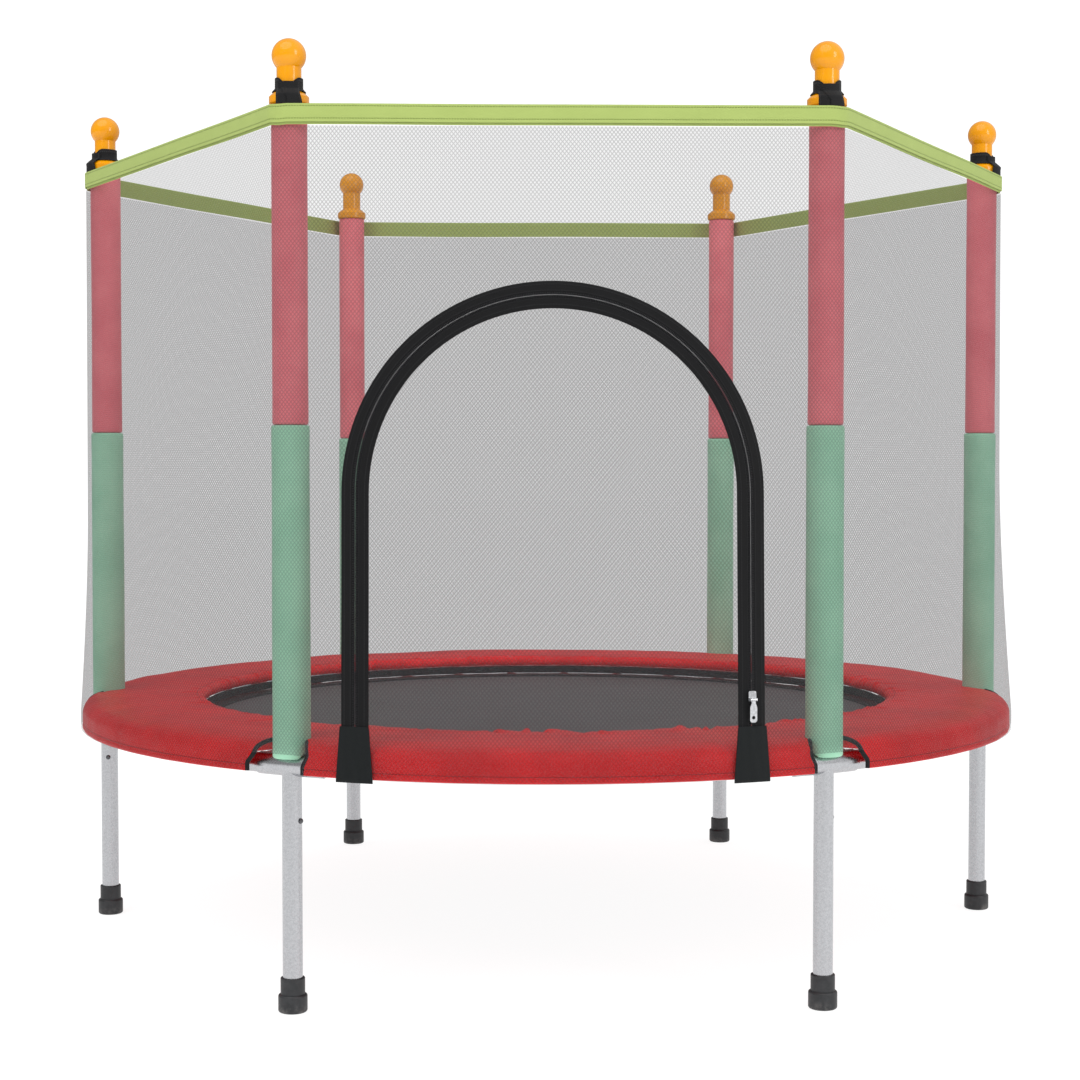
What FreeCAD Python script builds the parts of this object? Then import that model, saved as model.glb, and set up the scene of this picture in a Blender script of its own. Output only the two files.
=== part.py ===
import FreeCAD, Part
import math
import os

# Children's trampoline with a hexagonal safety enclosure.
# Millimetres, +Z up, origin on the floor under the centre of the mat.
# The door is in the front panel, which faces -Y.

# ---------------------------------------------------------------- driving dimensions
POST_COUNT = 6
POST_CIRCLE_R = 672.0      # centre line of ring tube, legs and enclosure posts
RING_Z = 313.0             # centre line height of the ring tube
TUBE_R = 12.7              # one-inch steel tube
TUBE_WALL = 1.2
FIT_GAP = 0.2              # clearance of parts that slide into each other
TOP_Z = 1220.0             # top of the finials

# frame ring and T-sockets
SLEEVE_R = 14.3
SLEEVE_HALF_DEG = 4.1
RAIL_GAP_DEG = 1.8         # a rail stops this far from the post's axis
STUB_BOTTOM_Z = 232.0
POST_STUB_R = TUBE_R - TUBE_WALL - FIT_GAP
POST_STUB_TOP_Z = 392.0
POST_SEAT_Z = 328.0
HOOK_HOLE_R = 3.0

# legs and feet
LEG_BOTTOM_Z = 6.0
LEG_NECK_R = TUBE_R - TUBE_WALL - FIT_GAP
LEG_NECK_TOP_Z = 284.0
FOOT_LOW_R = 18.5
FOOT_LOW_H = 23.0
FOOT_HIGH_R = 15.5
FOOT_TOP_Z = 44.0
FOOT_EDGE = 3.0
FOOT_BORE_GAP = 0.05

# snap buttons in the leg joints
BUTTON_Z = 243.0
BUTTON_R = 3.2
BUTTON_HOLE_R = 3.5
BUTTON_TIP = 15.6          # distance of the button's tip from the leg's axis
BUTTON_ROOT = 7.5
BUTTON_FLANGE_R = 4.4
BUTTON_FLANGE_T = 0.9
CLIP_T = 0.7
CLIP_W = 7.0
CLIP_DROP = 38.0
CLIP_BACK = 7.8            # where the clip's far leaf presses on the opposite wall

# posts, foam sleeves and finials
FOAM_BORE_R = 13.0
FOAM_LOW_R = 24.0
FOAM_HIGH_R = 22.5
FOAM_BOTTOM_Z = 328.0
FOAM_JOINT_Z = 740.0
COLLAR_Z = 1137.0
COLLAR_R = 25.0
COLLAR_H = 10.0
COLLAR_SHOULDER = 8.0
NECK_R = 15.5
BALL_R = 21.5
PLUG_LEN = 30.0

# webbing straps that hold the net to the finials
STRAP_T = 1.6
STRAP_GAP = 0.3
STRAP_LOOP_Z = 1155.5
STRAP_LOOP_H = 13.0
STRAP_HALF_W = 13.0
STRAP_END_Z = 1135.0
STRAP_TURNS = {0: -30.0, 3: 30.0, 4: 30.0, 5: -30.0}   # the panel each strap faces; back posts have none

# jumping mat, V-rings and springs
SPRING_COUNT = 36
MAT_Z = 313.0
MAT_R = 528.0
MAT_T = 1.6
BORDER_INNER_R = 503.0
BORDER_OUTER_R = 538.0
BORDER_T = 5.2
V_WIRE_R = 1.75
V_BAR_R = 533.0            # circle of the V-rings' base bars
V_BAR_HALF = 12.0
V_APEX_R = 554.0
V_APEX_HALF = 5.0
SPRING_BODY_R = 7.5
SPRING_BORE_R = 5.5
SPRING_NECK = 6.0          # length over which a coil's end is led to its axis
SPRING_WIRE_R = 1.3
SPRING_IN_R = 568.0
SPRING_OUT_R = 648.0
HOOK_R = 3.6
RING_HOOK_REACH = 4.2      # how far a hook reaches past the ring tube's inner wall
RING_HOOK_R = 4.0
RING_HOOK_DROP = 3.0

# frame pad
PAD_INNER_R = 520.0
PAD_OUTER_R = 700.0
PAD_UNDER_Z = 330.5
PAD_TOP_Z = 348.0
PAD_SKIRT_Z = 305.0
PAD_SKIRT_T = 2.4
PAD_HOLE_R = 26.0
SLOT_MOUTH_HALF = 45.0     # half-width of a post's slot at the pad's outer radius
SLOT_SLOPE = (SLOT_MOUTH_HALF - PAD_HOLE_R) / (PAD_OUTER_R - POST_CIRCLE_R)
SLOT_PAST = 10.0
NOTCH_HALF_W = 44.0        # half-width of the opening in the skirt at its hem
NOTCH_KNEE_Z = 316.0       # the opening's sides lean from here to the slot's mouth
NOTCH_TOP_Z = 330.0
NOTCH_SHIFTS = (0.0, 0.0, 0.0, 0.0, -9.0, 9.0)
BINDING_R = 2.6
BINDING_OFF = 3.4          # distance of a binding's centre line from the cut edge, across the slot
BINDING_SKIRT_R = 698.2
BINDING_HIP_R = 697.0      # where a binding turns down from the pad's slope into the skirt
INNER_BINDING_R = 521.0
INNER_BINDING_T = 3.0
INNER_BINDING_LOW_Z = 317.5
INNER_BINDING_HIGH_Z = 330.3
SKIRT_PROFILE = [          # (radius, z) of the pad's outer slope and skirt, downwards
    (PAD_OUTER_R - 44, PAD_TOP_Z), (PAD_OUTER_R - 18, PAD_TOP_Z - 3), (PAD_OUTER_R - 5, PAD_TOP_Z - 10),
    (PAD_OUTER_R, PAD_TOP_Z - 21), (PAD_OUTER_R, PAD_SKIRT_Z),
]

# net, band and door
NET_BOTTOM_Z = 306.0
NET_KNEE_Z = 330.0         # upright beside the pad up to here, then leaning in
NET_TOP_Z = 1112.0
NET_BOTTOM_R = 701.2       # inner face of the net where it passes the pad
NET_TOP_CORNER = 28.4      # inner face of the net, from a post's axis
NET_T = 1.0
SEAM_DEG = 1.2             # half the arc that wraps a post at the net's bottom
BAND_TOP_Z = 1135.0
BAND_FLAP_Z = 1109.0
BAND_INNER_CORNER = 27.2
BAND_T = 3.4
BAND_FLAP_T = 1.0
DOOR_X = -9.0
DOOR_ARCH_Z = 656.0        # centre of the doorway's round top
DOOR_OUTER_R = 260.0
DOOR_TAPE_W = 17.0
DOOR_FOLD_Z = 354.0
DOOR_GAP = 0.3             # between the door's moving and fixed pieces
DOOR_CUT_DEPTH = 160.0     # depth of the prisms that cut the doorway's pieces
TAPE_PROUD = 0.3
TAPE_T = 1.6
TAB_TOP_Z = 370.0
TAB_BOTTOM_Z = 301.0
TAB_TOP_HALF = 18.0
TAB_BOTTOM_HALF = 23.0
TAB_OFFSET = 1.6           # gap from the net's inner face to the tab's inner face
TAB_T = 2.0

# zip slider and pull
SLIDER_Z = 400.0
SLIDER_H = 13.0
SLIDER_HALF_W = 5.0
SLIDER_T = 3.6
SLIDER_GAP = 1.0
SLIDER_ROUND = 2.0
SLIDER_LEAN = 0.0664       # the tape's lean towards the middle, per unit of height
SLIDER_YAW = 15.0          # the tape's face is turned this far from the front
BRIDGE_UP = 2.6
BRIDGE_R = 1.0
BRIDGE_OUT = 3.0
CHEEK_HALF = 4.5
CHEEK_T = 1.4
CHEEK_R = 2.2
PULL_EYE_R = 2.2
PULL_BORE_R = 1.15
PULL_EYE_HALF = 2.7
PULL_T = 1.4
PULL_LEN = 28.0
PULL_HALF_W = 4.6
PULL_SHOULDER = 4.6
PULL_HOLE_R = 2.2
PULL_HOLE_UP = 6.0

STEP_DEG = 360.0 / POST_COUNT
FRONT = 4                  # the panel between posts 4 and 5 holds the door
Z_AXIS = FreeCAD.Vector(0, 0, 1)
ORIGIN = FreeCAD.Vector(0, 0, 0)
SMOOTH, MITRED = 0, 1      # how a swept wire passes the corners of its path


# ---------------------------------------------------------------- helpers
def save(name, shapes):
    """Write one node: a single solid, or a group of separate solids."""
    shape = shapes if isinstance(shapes, Part.Shape) else Part.makeCompound(shapes)
    shape.exportStep(f"parts/{name}.step")


def vec(x, y, z):
    return FreeCAD.Vector(x, y, z)


def polar(radius, deg, z=0.0):
    a = math.radians(deg)
    return vec(radius * math.cos(a), radius * math.sin(a), z)


def turned(shape, deg):
    copy = shape.copy()
    copy.rotate(ORIGIN, Z_AXIS, deg)
    return copy


def cylinder(radius, z0, z1, centre=ORIGIN):
    return Part.makeCylinder(radius, z1 - z0, vec(centre.x, centre.y, z0))


def tube(outer, inner, z0, z1, centre=ORIGIN):
    return cylinder(outer, z0, z1, centre).cut(cylinder(inner, z0, z1, centre))


def closed_face(points):
    wire = Part.makePolygon([vec(*p) for p in points] + [vec(*points[0])])
    return Part.Face(wire)


def revolved(profile, deg=360.0):
    """Turn a list of (radius, z) points about the Z axis."""
    return closed_face([(r, 0, z) for r, z in profile]).revolve(ORIGIN, Z_AXIS, deg)


def post_axis(index):
    return polar(POST_CIRCLE_R, index * STEP_DEG)


def wire_rod(edges, radius, corners=SMOOTH):
    """Round wire along a path of lines and arcs."""
    path = Part.Wire(edges)
    start = path.Edges[0]
    tangent = start.tangentAt(start.FirstParameter)
    circle = Part.Circle(start.valueAt(start.FirstParameter), tangent, radius)
    return path.makePipeShell([Part.Wire([circle.toShape()])], True, False, corners)


def arc_sector(tube_radius, from_deg, to_deg):
    """Solid bar of round section along the ring's centre line."""
    start = vec(POST_CIRCLE_R, 0, RING_Z)
    face = Part.Face(Part.Wire([Part.Circle(start, vec(0, 1, 0), tube_radius).toShape()]))
    return turned(face.revolve(ORIGIN, Z_AXIS, to_deg - from_deg), from_deg)


# ---------------------------------------------------------------- frame ring
def spring_angles():
    pitch = 360.0 / SPRING_COUNT
    return [pitch * (k + 0.5) for k in range(SPRING_COUNT)]


def hook_hole(deg):
    """Radial hole in the ring tube's inner wall, for one spring hook."""
    start = polar(POST_CIRCLE_R - TUBE_R - 2, deg, MAT_Z + HOOK_R)
    return Part.makeCylinder(HOOK_HOLE_R, TUBE_R, start, polar(1, deg))


def ring_rail():
    first = RAIL_GAP_DEG
    last = STEP_DEG - RAIL_GAP_DEG
    rail = arc_sector(TUBE_R, first, last).cut(arc_sector(TUBE_R - TUBE_WALL, first, last))
    holes = [hook_hole(a) for a in spring_angles() if a < STEP_DEG]
    return rail.cut(Part.makeCompound(holes))


def leg_socket():
    """T-socket at post 0: a curved sleeve with a stub up for the post and one down for the leg."""
    centre = post_axis(0)
    sleeve = arc_sector(SLEEVE_R, -SLEEVE_HALF_DEG, SLEEVE_HALF_DEG)
    lower = cylinder(TUBE_R, STUB_BOTTOM_Z, RING_Z, centre)
    upper = cylinder(POST_STUB_R, RING_Z, POST_STUB_TOP_Z, centre)
    body = sleeve.fuse([lower, upper])
    bore = arc_sector(TUBE_R + FIT_GAP, -SLEEVE_HALF_DEG, SLEEVE_HALF_DEG)
    leg_bore = cylinder(TUBE_R - TUBE_WALL, STUB_BOTTOM_Z, RING_Z, centre)
    post_bore = cylinder(POST_STUB_R - TUBE_WALL, RING_Z, POST_STUB_TOP_Z, centre)
    button_hole = Part.makeCylinder(BUTTON_HOLE_R, TUBE_R + 2, vec(centre.x, 0, BUTTON_Z), vec(0, 1, 0))
    return body.cut([bore, leg_bore, post_bore, button_hole])


# ---------------------------------------------------------------- legs
def leg_tube():
    centre = post_axis(0)
    outside = cylinder(TUBE_R, LEG_BOTTOM_Z, STUB_BOTTOM_Z, centre)
    neck = cylinder(LEG_NECK_R, STUB_BOTTOM_Z, LEG_NECK_TOP_Z, centre)
    bore = cylinder(LEG_NECK_R - TUBE_WALL, LEG_BOTTOM_Z, LEG_NECK_TOP_Z, centre)
    hole = Part.makeCylinder(BUTTON_HOLE_R, TUBE_R, vec(centre.x, 0, BUTTON_Z), vec(0, 1, 0))
    return outside.fuse(neck).cut([bore, hole]).removeSplitter()


def foot():
    centre = post_axis(0)
    low = cylinder(FOOT_LOW_R, 0, FOOT_LOW_H, centre)
    low = low.makeFillet(FOOT_EDGE, low.Edges)
    high = cylinder(FOOT_HIGH_R, FOOT_LOW_H - FOOT_EDGE, FOOT_TOP_Z, centre)
    rim = [e for e in high.Edges if e.BoundBox.ZMin > FOOT_TOP_Z - 1]
    high = high.makeFillet(FOOT_EDGE / 2, rim)
    bore = cylinder(TUBE_R + FOOT_BORE_GAP, LEG_BOTTOM_Z, FOOT_TOP_Z, centre)
    return low.fuse(high).cut(bore)


def snap_button():
    """Domed pin with a flange, pushed out through the leg's neck and the socket's stub."""
    x = POST_CIRCLE_R
    along = vec(0, 1, 0)
    pin = Part.makeCylinder(BUTTON_R, BUTTON_TIP - BUTTON_ROOT, vec(x, BUTTON_ROOT, BUTTON_Z), along)
    tip = [e for e in pin.Edges if e.BoundBox.YMin > BUTTON_TIP - 1]
    pin = pin.makeFillet(BUTTON_R / 2, tip)
    root = vec(x, BUTTON_ROOT, BUTTON_Z)
    return pin.fuse(Part.makeCylinder(BUTTON_FLANGE_R, BUTTON_FLANGE_T, root, along))


def clip_spring():
    """Folded strip inside the leg's neck that pushes the button outwards."""
    near = BUTTON_ROOT
    low = BUTTON_Z - CLIP_DROP
    top = BUTTON_Z + BUTTON_FLANGE_R
    outline = [
        (near, top), (near, BUTTON_Z - BUTTON_FLANGE_R), (CLIP_T, low), (-CLIP_T, low),
        (-CLIP_BACK, BUTTON_Z), (-CLIP_BACK + CLIP_T, BUTTON_Z), (0, low + 3 * CLIP_T),
        (near - CLIP_T, BUTTON_Z - BUTTON_FLANGE_R), (near - CLIP_T, top),
    ]
    x0 = POST_CIRCLE_R - CLIP_W / 2
    return closed_face([(x0, y, z) for y, z in outline]).extrude(vec(CLIP_W, 0, 0))


# ---------------------------------------------------------------- posts and finials
def enclosure_post(index):
    return tube(TUBE_R, TUBE_R - TUBE_WALL, POST_SEAT_Z, COLLAR_Z, post_axis(index))


def foam_sleeve(outer, z0, z1):
    return tube(outer, FOAM_BORE_R, z0, z1, post_axis(0))


def finial():
    """Ball knob: plug, collar, neck and ball in one turned shape."""
    shoulder_z = COLLAR_Z + COLLAR_H + COLLAR_SHOULDER
    ball_z = TOP_Z - BALL_R
    profile = [
        (0, COLLAR_Z - PLUG_LEN), (TUBE_R - TUBE_WALL - FIT_GAP, COLLAR_Z - PLUG_LEN),
        (TUBE_R - TUBE_WALL - FIT_GAP, COLLAR_Z), (COLLAR_R - 2, COLLAR_Z), (COLLAR_R, COLLAR_Z + 2),
        (COLLAR_R, COLLAR_Z + COLLAR_H), (COLLAR_R - 4, COLLAR_Z + COLLAR_H + 4),
        (NECK_R, shoulder_z), (NECK_R, ball_z), (0, ball_z),
    ]
    ball = Part.makeSphere(BALL_R, vec(0, 0, ball_z))
    knob = revolved(profile).fuse(ball)
    knob.translate(post_axis(0))
    return knob


def finial_strap(index):
    """Webbing looped round a finial's neck, with one tail down inside the band."""
    inner = NECK_R + STRAP_GAP
    outer = inner + STRAP_T
    loop = tube(outer, inner, STRAP_LOOP_Z, STRAP_LOOP_Z + STRAP_LOOP_H)
    face = COLLAR_R + STRAP_GAP
    knee_z = COLLAR_Z + COLLAR_H + 1.5
    tail = closed_face([
        (face, -STRAP_HALF_W, STRAP_END_Z), (face + STRAP_T, -STRAP_HALF_W, STRAP_END_Z),
        (face + STRAP_T, -STRAP_HALF_W, knee_z), (outer, -STRAP_HALF_W, STRAP_LOOP_Z + 4),
        (inner, -STRAP_HALF_W, STRAP_LOOP_Z + 4), (inner, -STRAP_HALF_W, STRAP_LOOP_Z + 1),
        (face, -STRAP_HALF_W, knee_z - 1),
    ]).extrude(vec(0, 2 * STRAP_HALF_W, 0))
    strap = loop.fuse(tail)
    strap = turned(strap, index * STEP_DEG + STRAP_TURNS[index])
    strap.translate(post_axis(index))
    return strap


# ---------------------------------------------------------------- mat and springs
def jumping_mat():
    return cylinder(MAT_R, MAT_Z - MAT_T / 2, MAT_Z + MAT_T / 2)


def mat_border():
    ring = tube(BORDER_OUTER_R, BORDER_INNER_R, MAT_Z - BORDER_T / 2, MAT_Z + BORDER_T / 2)
    return ring.cut(cylinder(MAT_R, MAT_Z - MAT_T / 2, MAT_Z + MAT_T / 2))


def v_ring():
    """Loop of steel wire, its long bar held in the border, its short bar towards the spring."""
    corners = [(V_BAR_R, -V_BAR_HALF), (V_BAR_R, V_BAR_HALF), (V_APEX_R, V_APEX_HALF),
               (V_APEX_R, -V_APEX_HALF)]
    legs = []
    for k in range(len(corners)):
        a = vec(*corners[k], MAT_Z)
        b = vec(*corners[(k + 1) % len(corners)], MAT_Z)
        legs.append(Part.makeCylinder(V_WIRE_R, a.distanceToPoint(b), a, b - a))
        legs.append(Part.makeSphere(V_WIRE_R, a))
    return legs[0].fuse(legs[1:])


def three_point_arc(a, b, c):
    return Part.Arc(a, b, c).toShape()


def spring_neck(body_x, tip_x, z):
    """Last turn of the coil, led from its wall to its axis."""
    wall = (SPRING_BODY_R + SPRING_BORE_R) / 2
    start = vec(body_x, 0, z + wall)
    end = vec(tip_x, 0, z)
    leg = Part.makeCylinder(SPRING_WIRE_R, start.distanceToPoint(end), start, end - start)
    return [leg, Part.makeSphere(SPRING_WIRE_R, end)]


def spring():
    """Tension spring along +X at angle 0: hollow coil body and two hooks."""
    z = MAT_Z + HOOK_R
    length = SPRING_OUT_R - SPRING_IN_R
    start = vec(SPRING_IN_R, 0, z)
    body = Part.makeCylinder(SPRING_BODY_R, length, start, vec(1, 0, 0))
    body = body.cut(Part.makeCylinder(SPRING_BORE_R, length, start, vec(1, 0, 0)))
    mat_neck_x = SPRING_IN_R - SPRING_NECK
    ring_neck_x = SPRING_OUT_R + SPRING_NECK
    mat_end = vec(V_APEX_R, 0, z)
    mat_hook = wire_rod([
        Part.makeLine(vec(mat_neck_x, 0, z), mat_end),
        three_point_arc(mat_end, vec(V_APEX_R - HOOK_R, 0, MAT_Z), vec(V_APEX_R, 0, MAT_Z - HOOK_R)),
    ], SPRING_WIRE_R)
    bend = vec(POST_CIRCLE_R - TUBE_R + RING_HOOK_REACH, 0, z)
    side = RING_HOOK_R / math.sqrt(2)
    turn_mid = vec(bend.x + side, 0, z - RING_HOOK_R + side)
    turn_end = vec(bend.x + RING_HOOK_R, 0, z - RING_HOOK_R)
    ring_hook = wire_rod([
        Part.makeLine(vec(ring_neck_x, 0, z), bend),
        three_point_arc(bend, turn_mid, turn_end),
        Part.makeLine(turn_end, vec(turn_end.x, 0, turn_end.z - RING_HOOK_DROP)),
    ], SPRING_WIRE_R)
    necks = spring_neck(SPRING_IN_R + SPRING_WIRE_R, mat_neck_x, z)
    necks += spring_neck(SPRING_OUT_R - SPRING_WIRE_R, ring_neck_x, z)
    return body.fuse(necks + [mat_hook, ring_hook])


# ---------------------------------------------------------------- frame pad
def slot_half(radius):
    """Half-width of a post's slot at a radius outside the post's axis."""
    return PAD_HOLE_R + SLOT_SLOPE * (radius - POST_CIRCLE_R)


def post_slot(index):
    """Room for a foam sleeve: round behind it, and above the skirt's opening widening to the outside."""
    far = PAD_OUTER_R + SLOT_PAST
    high = PAD_TOP_Z + 1
    hole = cylinder(PAD_HOLE_R, PAD_SKIRT_Z - 1, high, post_axis(0))
    mouth = closed_face([
        (POST_CIRCLE_R, -PAD_HOLE_R, NOTCH_TOP_Z), (far, -slot_half(far), NOTCH_TOP_Z),
        (far, slot_half(far), NOTCH_TOP_Z), (POST_CIRCLE_R, PAD_HOLE_R, NOTCH_TOP_Z),
    ]).extrude(vec(0, 0, high - NOTCH_TOP_Z))
    return turned(hole.fuse(mouth), index * STEP_DEG)


def notch_prism(index):
    """Opening in the skirt in front of a leg socket, wider than the slot above it."""
    near = POST_CIRCLE_R + TUBE_R
    low = PAD_SKIRT_Z - 1
    left = NOTCH_SHIFTS[index] - NOTCH_HALF_W
    right = NOTCH_SHIFTS[index] + NOTCH_HALF_W
    opening = closed_face([
        (near, left, low), (near, right, low), (near, right, NOTCH_KNEE_Z),
        (near, SLOT_MOUTH_HALF, NOTCH_TOP_Z), (near, -SLOT_MOUTH_HALF, NOTCH_TOP_Z),
        (near, left, NOTCH_KNEE_Z),
    ])
    return turned(opening.extrude(vec(PAD_OUTER_R + SLOT_PAST - near, 0, 0)), index * STEP_DEG)


def frame_pad():
    skirt_in = PAD_OUTER_R - PAD_SKIRT_T
    pad = revolved([
        (PAD_INNER_R, PAD_UNDER_Z + 3), (PAD_INNER_R, PAD_TOP_Z - 5), (PAD_INNER_R + 6, PAD_TOP_Z - 1),
        (PAD_INNER_R + 18, PAD_TOP_Z), *SKIRT_PROFILE, (skirt_in, PAD_SKIRT_Z),
        (skirt_in, PAD_TOP_Z - 22), (PAD_OUTER_R - 9, PAD_UNDER_Z), (PAD_INNER_R + 4, PAD_UNDER_Z),
    ])
    cuts = [post_slot(k) for k in range(POST_COUNT)]
    cuts += [notch_prism(k) for k in range(POST_COUNT)]
    return pad.cut(cuts)


def skirt_point(y, z):
    """Point inside the skirt in front of post 0, for the centre line of a binding."""
    return vec(math.sqrt(BINDING_SKIRT_R ** 2 - y ** 2), y, z)


def edge_binding(index, side):
    """Rolled black edging on one side of a post's slot and of the skirt's opening below it."""
    start = POST_CIRCLE_R + 7
    shoulder = PAD_OUTER_R - 6
    low_y = NOTCH_SHIFTS[index] + side * (NOTCH_HALF_W - BINDING_OFF)
    points = [
        vec(start, side * (slot_half(start) - BINDING_OFF), PAD_TOP_Z - 8.5),
        vec(shoulder, side * (slot_half(shoulder) - BINDING_OFF), PAD_TOP_Z - 12.5),
        vec(BINDING_HIP_R, side * (slot_half(BINDING_HIP_R) - BINDING_OFF), NOTCH_TOP_Z - 1.5),
        skirt_point(low_y, NOTCH_KNEE_Z), skirt_point(low_y, PAD_SKIRT_Z),
    ]
    lines = [Part.makeLine(a, b) for a, b in zip(points[:-1], points[1:])]
    bar = wire_rod(lines, BINDING_R, MITRED)
    return turned(bar, index * STEP_DEG)


def inner_binding():
    """Black edging that hangs below the pad's inner edge, over the rim of the mat."""
    return tube(INNER_BINDING_R + INNER_BINDING_T, INNER_BINDING_R, INNER_BINDING_LOW_Z, INNER_BINDING_HIGH_Z)


# ---------------------------------------------------------------- net
def panel_outline(index, z, at_top, offset, reverse=False):
    """Edges of one panel's face, from the seam at post `index` to the next post's seam."""
    a0 = index * STEP_DEG
    a1 = a0 + STEP_DEG
    mid = a0 + STEP_DEG / 2
    if not at_top:
        r = NET_BOTTOM_R + offset
        cuts = [a0, a0 + SEAM_DEG, a1 - SEAM_DEG, a1]
        points = [polar(r, a, z) for a in cuts]
        middles = [polar(r, (cuts[k] + cuts[k + 1]) / 2, z) for k in range(3)]
        edges = [three_point_arc(points[k], middles[k], points[k + 1]) for k in range(3)]
        return points, edges
    r = NET_TOP_CORNER + offset
    first = post_axis(index) + vec(0, 0, z)
    last = post_axis(index + 1) + vec(0, 0, z)
    quarter = STEP_DEG / 4
    points = [first + polar(r, a0), first + polar(r, mid), last + polar(r, mid), last + polar(r, a1)]
    edges = [
        three_point_arc(points[0], first + polar(r, a0 + quarter), points[1]),
        Part.makeLine(points[1], points[2]),
        three_point_arc(points[2], last + polar(r, a1 - quarter), points[3]),
    ]
    return points, edges


def panel_section(index, z, at_top, near, far):
    """Closed wire of a panel's thickness at one height."""
    in_points, in_edges = panel_outline(index, z, at_top, near)
    out_points, out_edges = panel_outline(index, z, at_top, far)
    return Part.Wire(in_edges + [Part.makeLine(in_points[3], out_points[3])]
                     + out_edges[::-1] + [Part.makeLine(out_points[0], in_points[0])])


def panel(index, near, far, bottom=NET_BOTTOM_Z):
    """One net panel: straight between the posts at its top, round where it passes the pad."""
    low = panel_section(index, bottom, False, near, far)
    knee = panel_section(index, NET_KNEE_Z, False, near, far)
    high = panel_section(index, NET_TOP_Z, True, near, far)
    return Part.makeLoft([low, knee, high], True, True)


def door_prism(radius, bottom):
    """Doorway outline of one radius, as a prism through the front panel."""
    y0 = -(NET_BOTTOM_R + DOOR_CUT_DEPTH / 4)
    foot_left = vec(DOOR_X - radius, y0, bottom)
    foot_right = vec(DOOR_X + radius, y0, bottom)
    knee_left = vec(DOOR_X - radius, y0, DOOR_ARCH_Z)
    knee_right = vec(DOOR_X + radius, y0, DOOR_ARCH_Z)
    edges = [
        Part.makeLine(foot_left, knee_left),
        three_point_arc(knee_left, vec(DOOR_X, y0, DOOR_ARCH_Z + radius), knee_right),
        Part.makeLine(knee_right, foot_right),
        Part.makeLine(foot_right, foot_left),
    ]
    return Part.Face(Part.Wire(edges)).extrude(vec(0, DOOR_CUT_DEPTH, 0))


def door_ring(outer, inner, bottom):
    """One zip tape: the strip of the front panel between two doorway outlines."""
    shell = panel(FRONT, -TAPE_PROUD, TAPE_T - TAPE_PROUD)
    return shell.common(door_prism(outer, bottom).cut(door_prism(inner, bottom - 1)))


def net_panel(index):
    """One panel of the net, its lower corners open where the leg sockets are."""
    return panel(index, 0, NET_T).cut([notch_prism(index), notch_prism((index + 1) % POST_COUNT)])


def front_panel():
    return net_panel(FRONT).cut(door_prism(DOOR_OUTER_R, DOOR_FOLD_Z))


def door_flap():
    radius = DOOR_OUTER_R - 2 * DOOR_TAPE_W
    return panel(FRONT, 0, NET_T).common(door_prism(radius, DOOR_FOLD_Z + DOOR_GAP))


def zip_tab(side):
    """Flared cover over one lower end of the zip, following the front panel."""
    x = DOOR_X + side * (DOOR_OUTER_R - DOOR_TAPE_W)
    y0 = -(NET_BOTTOM_R + DOOR_CUT_DEPTH / 4)
    outline = closed_face([
        (x - TAB_BOTTOM_HALF, y0, TAB_BOTTOM_Z), (x + TAB_BOTTOM_HALF, y0, TAB_BOTTOM_Z),
        (x + TAB_TOP_HALF, y0, TAB_TOP_Z), (x - TAB_TOP_HALF, y0, TAB_TOP_Z),
    ])
    shell = panel(FRONT, TAB_OFFSET, TAB_OFFSET + TAB_T, TAB_BOTTOM_Z)
    return shell.common(outline.extrude(vec(0, DOOR_CUT_DEPTH, 0)))


def top_band():
    """Folded band over the net's top edge, its inner leg longer than its outer one."""
    inner_corner = BAND_INNER_CORNER - NET_TOP_CORNER
    outer_corner = inner_corner + BAND_T
    flap_corner = inner_corner + BAND_FLAP_T
    parts = []
    for near, far, z0, z1 in ((inner_corner, outer_corner, NET_TOP_Z, BAND_TOP_Z),
                              (inner_corner, flap_corner, BAND_FLAP_Z, NET_TOP_Z)):
        for k in range(POST_COUNT):
            section = Part.Face(panel_section(k, z0, True, near, far))
            parts.append(section.extrude(vec(0, 0, z1 - z0)))
    return parts[0].fuse(parts[1:]).removeSplitter()


# ---------------------------------------------------------------- zip slider and pull
def slider_place():
    """Point on the zip tape's outer face, between its halves, at the slider's lower end."""
    x = DOOR_X + DOOR_OUTER_R - DOOR_TAPE_W
    knee_y = -math.sqrt(NET_BOTTOM_R ** 2 - x ** 2)
    net_y = knee_y + (SLIDER_Z - NET_KNEE_Z) * SLIDER_LEAN
    return vec(x, net_y - (TAPE_T - TAPE_PROUD) - SLIDER_GAP, SLIDER_Z)


def bridge_place():
    """Middle of the slider's bridge, which is the pull's hinge."""
    lean = math.atan(SLIDER_LEAN)
    out = SLIDER_T + BRIDGE_OUT
    y = -out * math.cos(lean) + BRIDGE_UP * math.sin(lean)
    z = out * math.sin(lean) + BRIDGE_UP * math.cos(lean)
    yaw = math.radians(SLIDER_YAW)
    return slider_place() + vec(-y * math.sin(yaw), y * math.cos(yaw), z)


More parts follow.
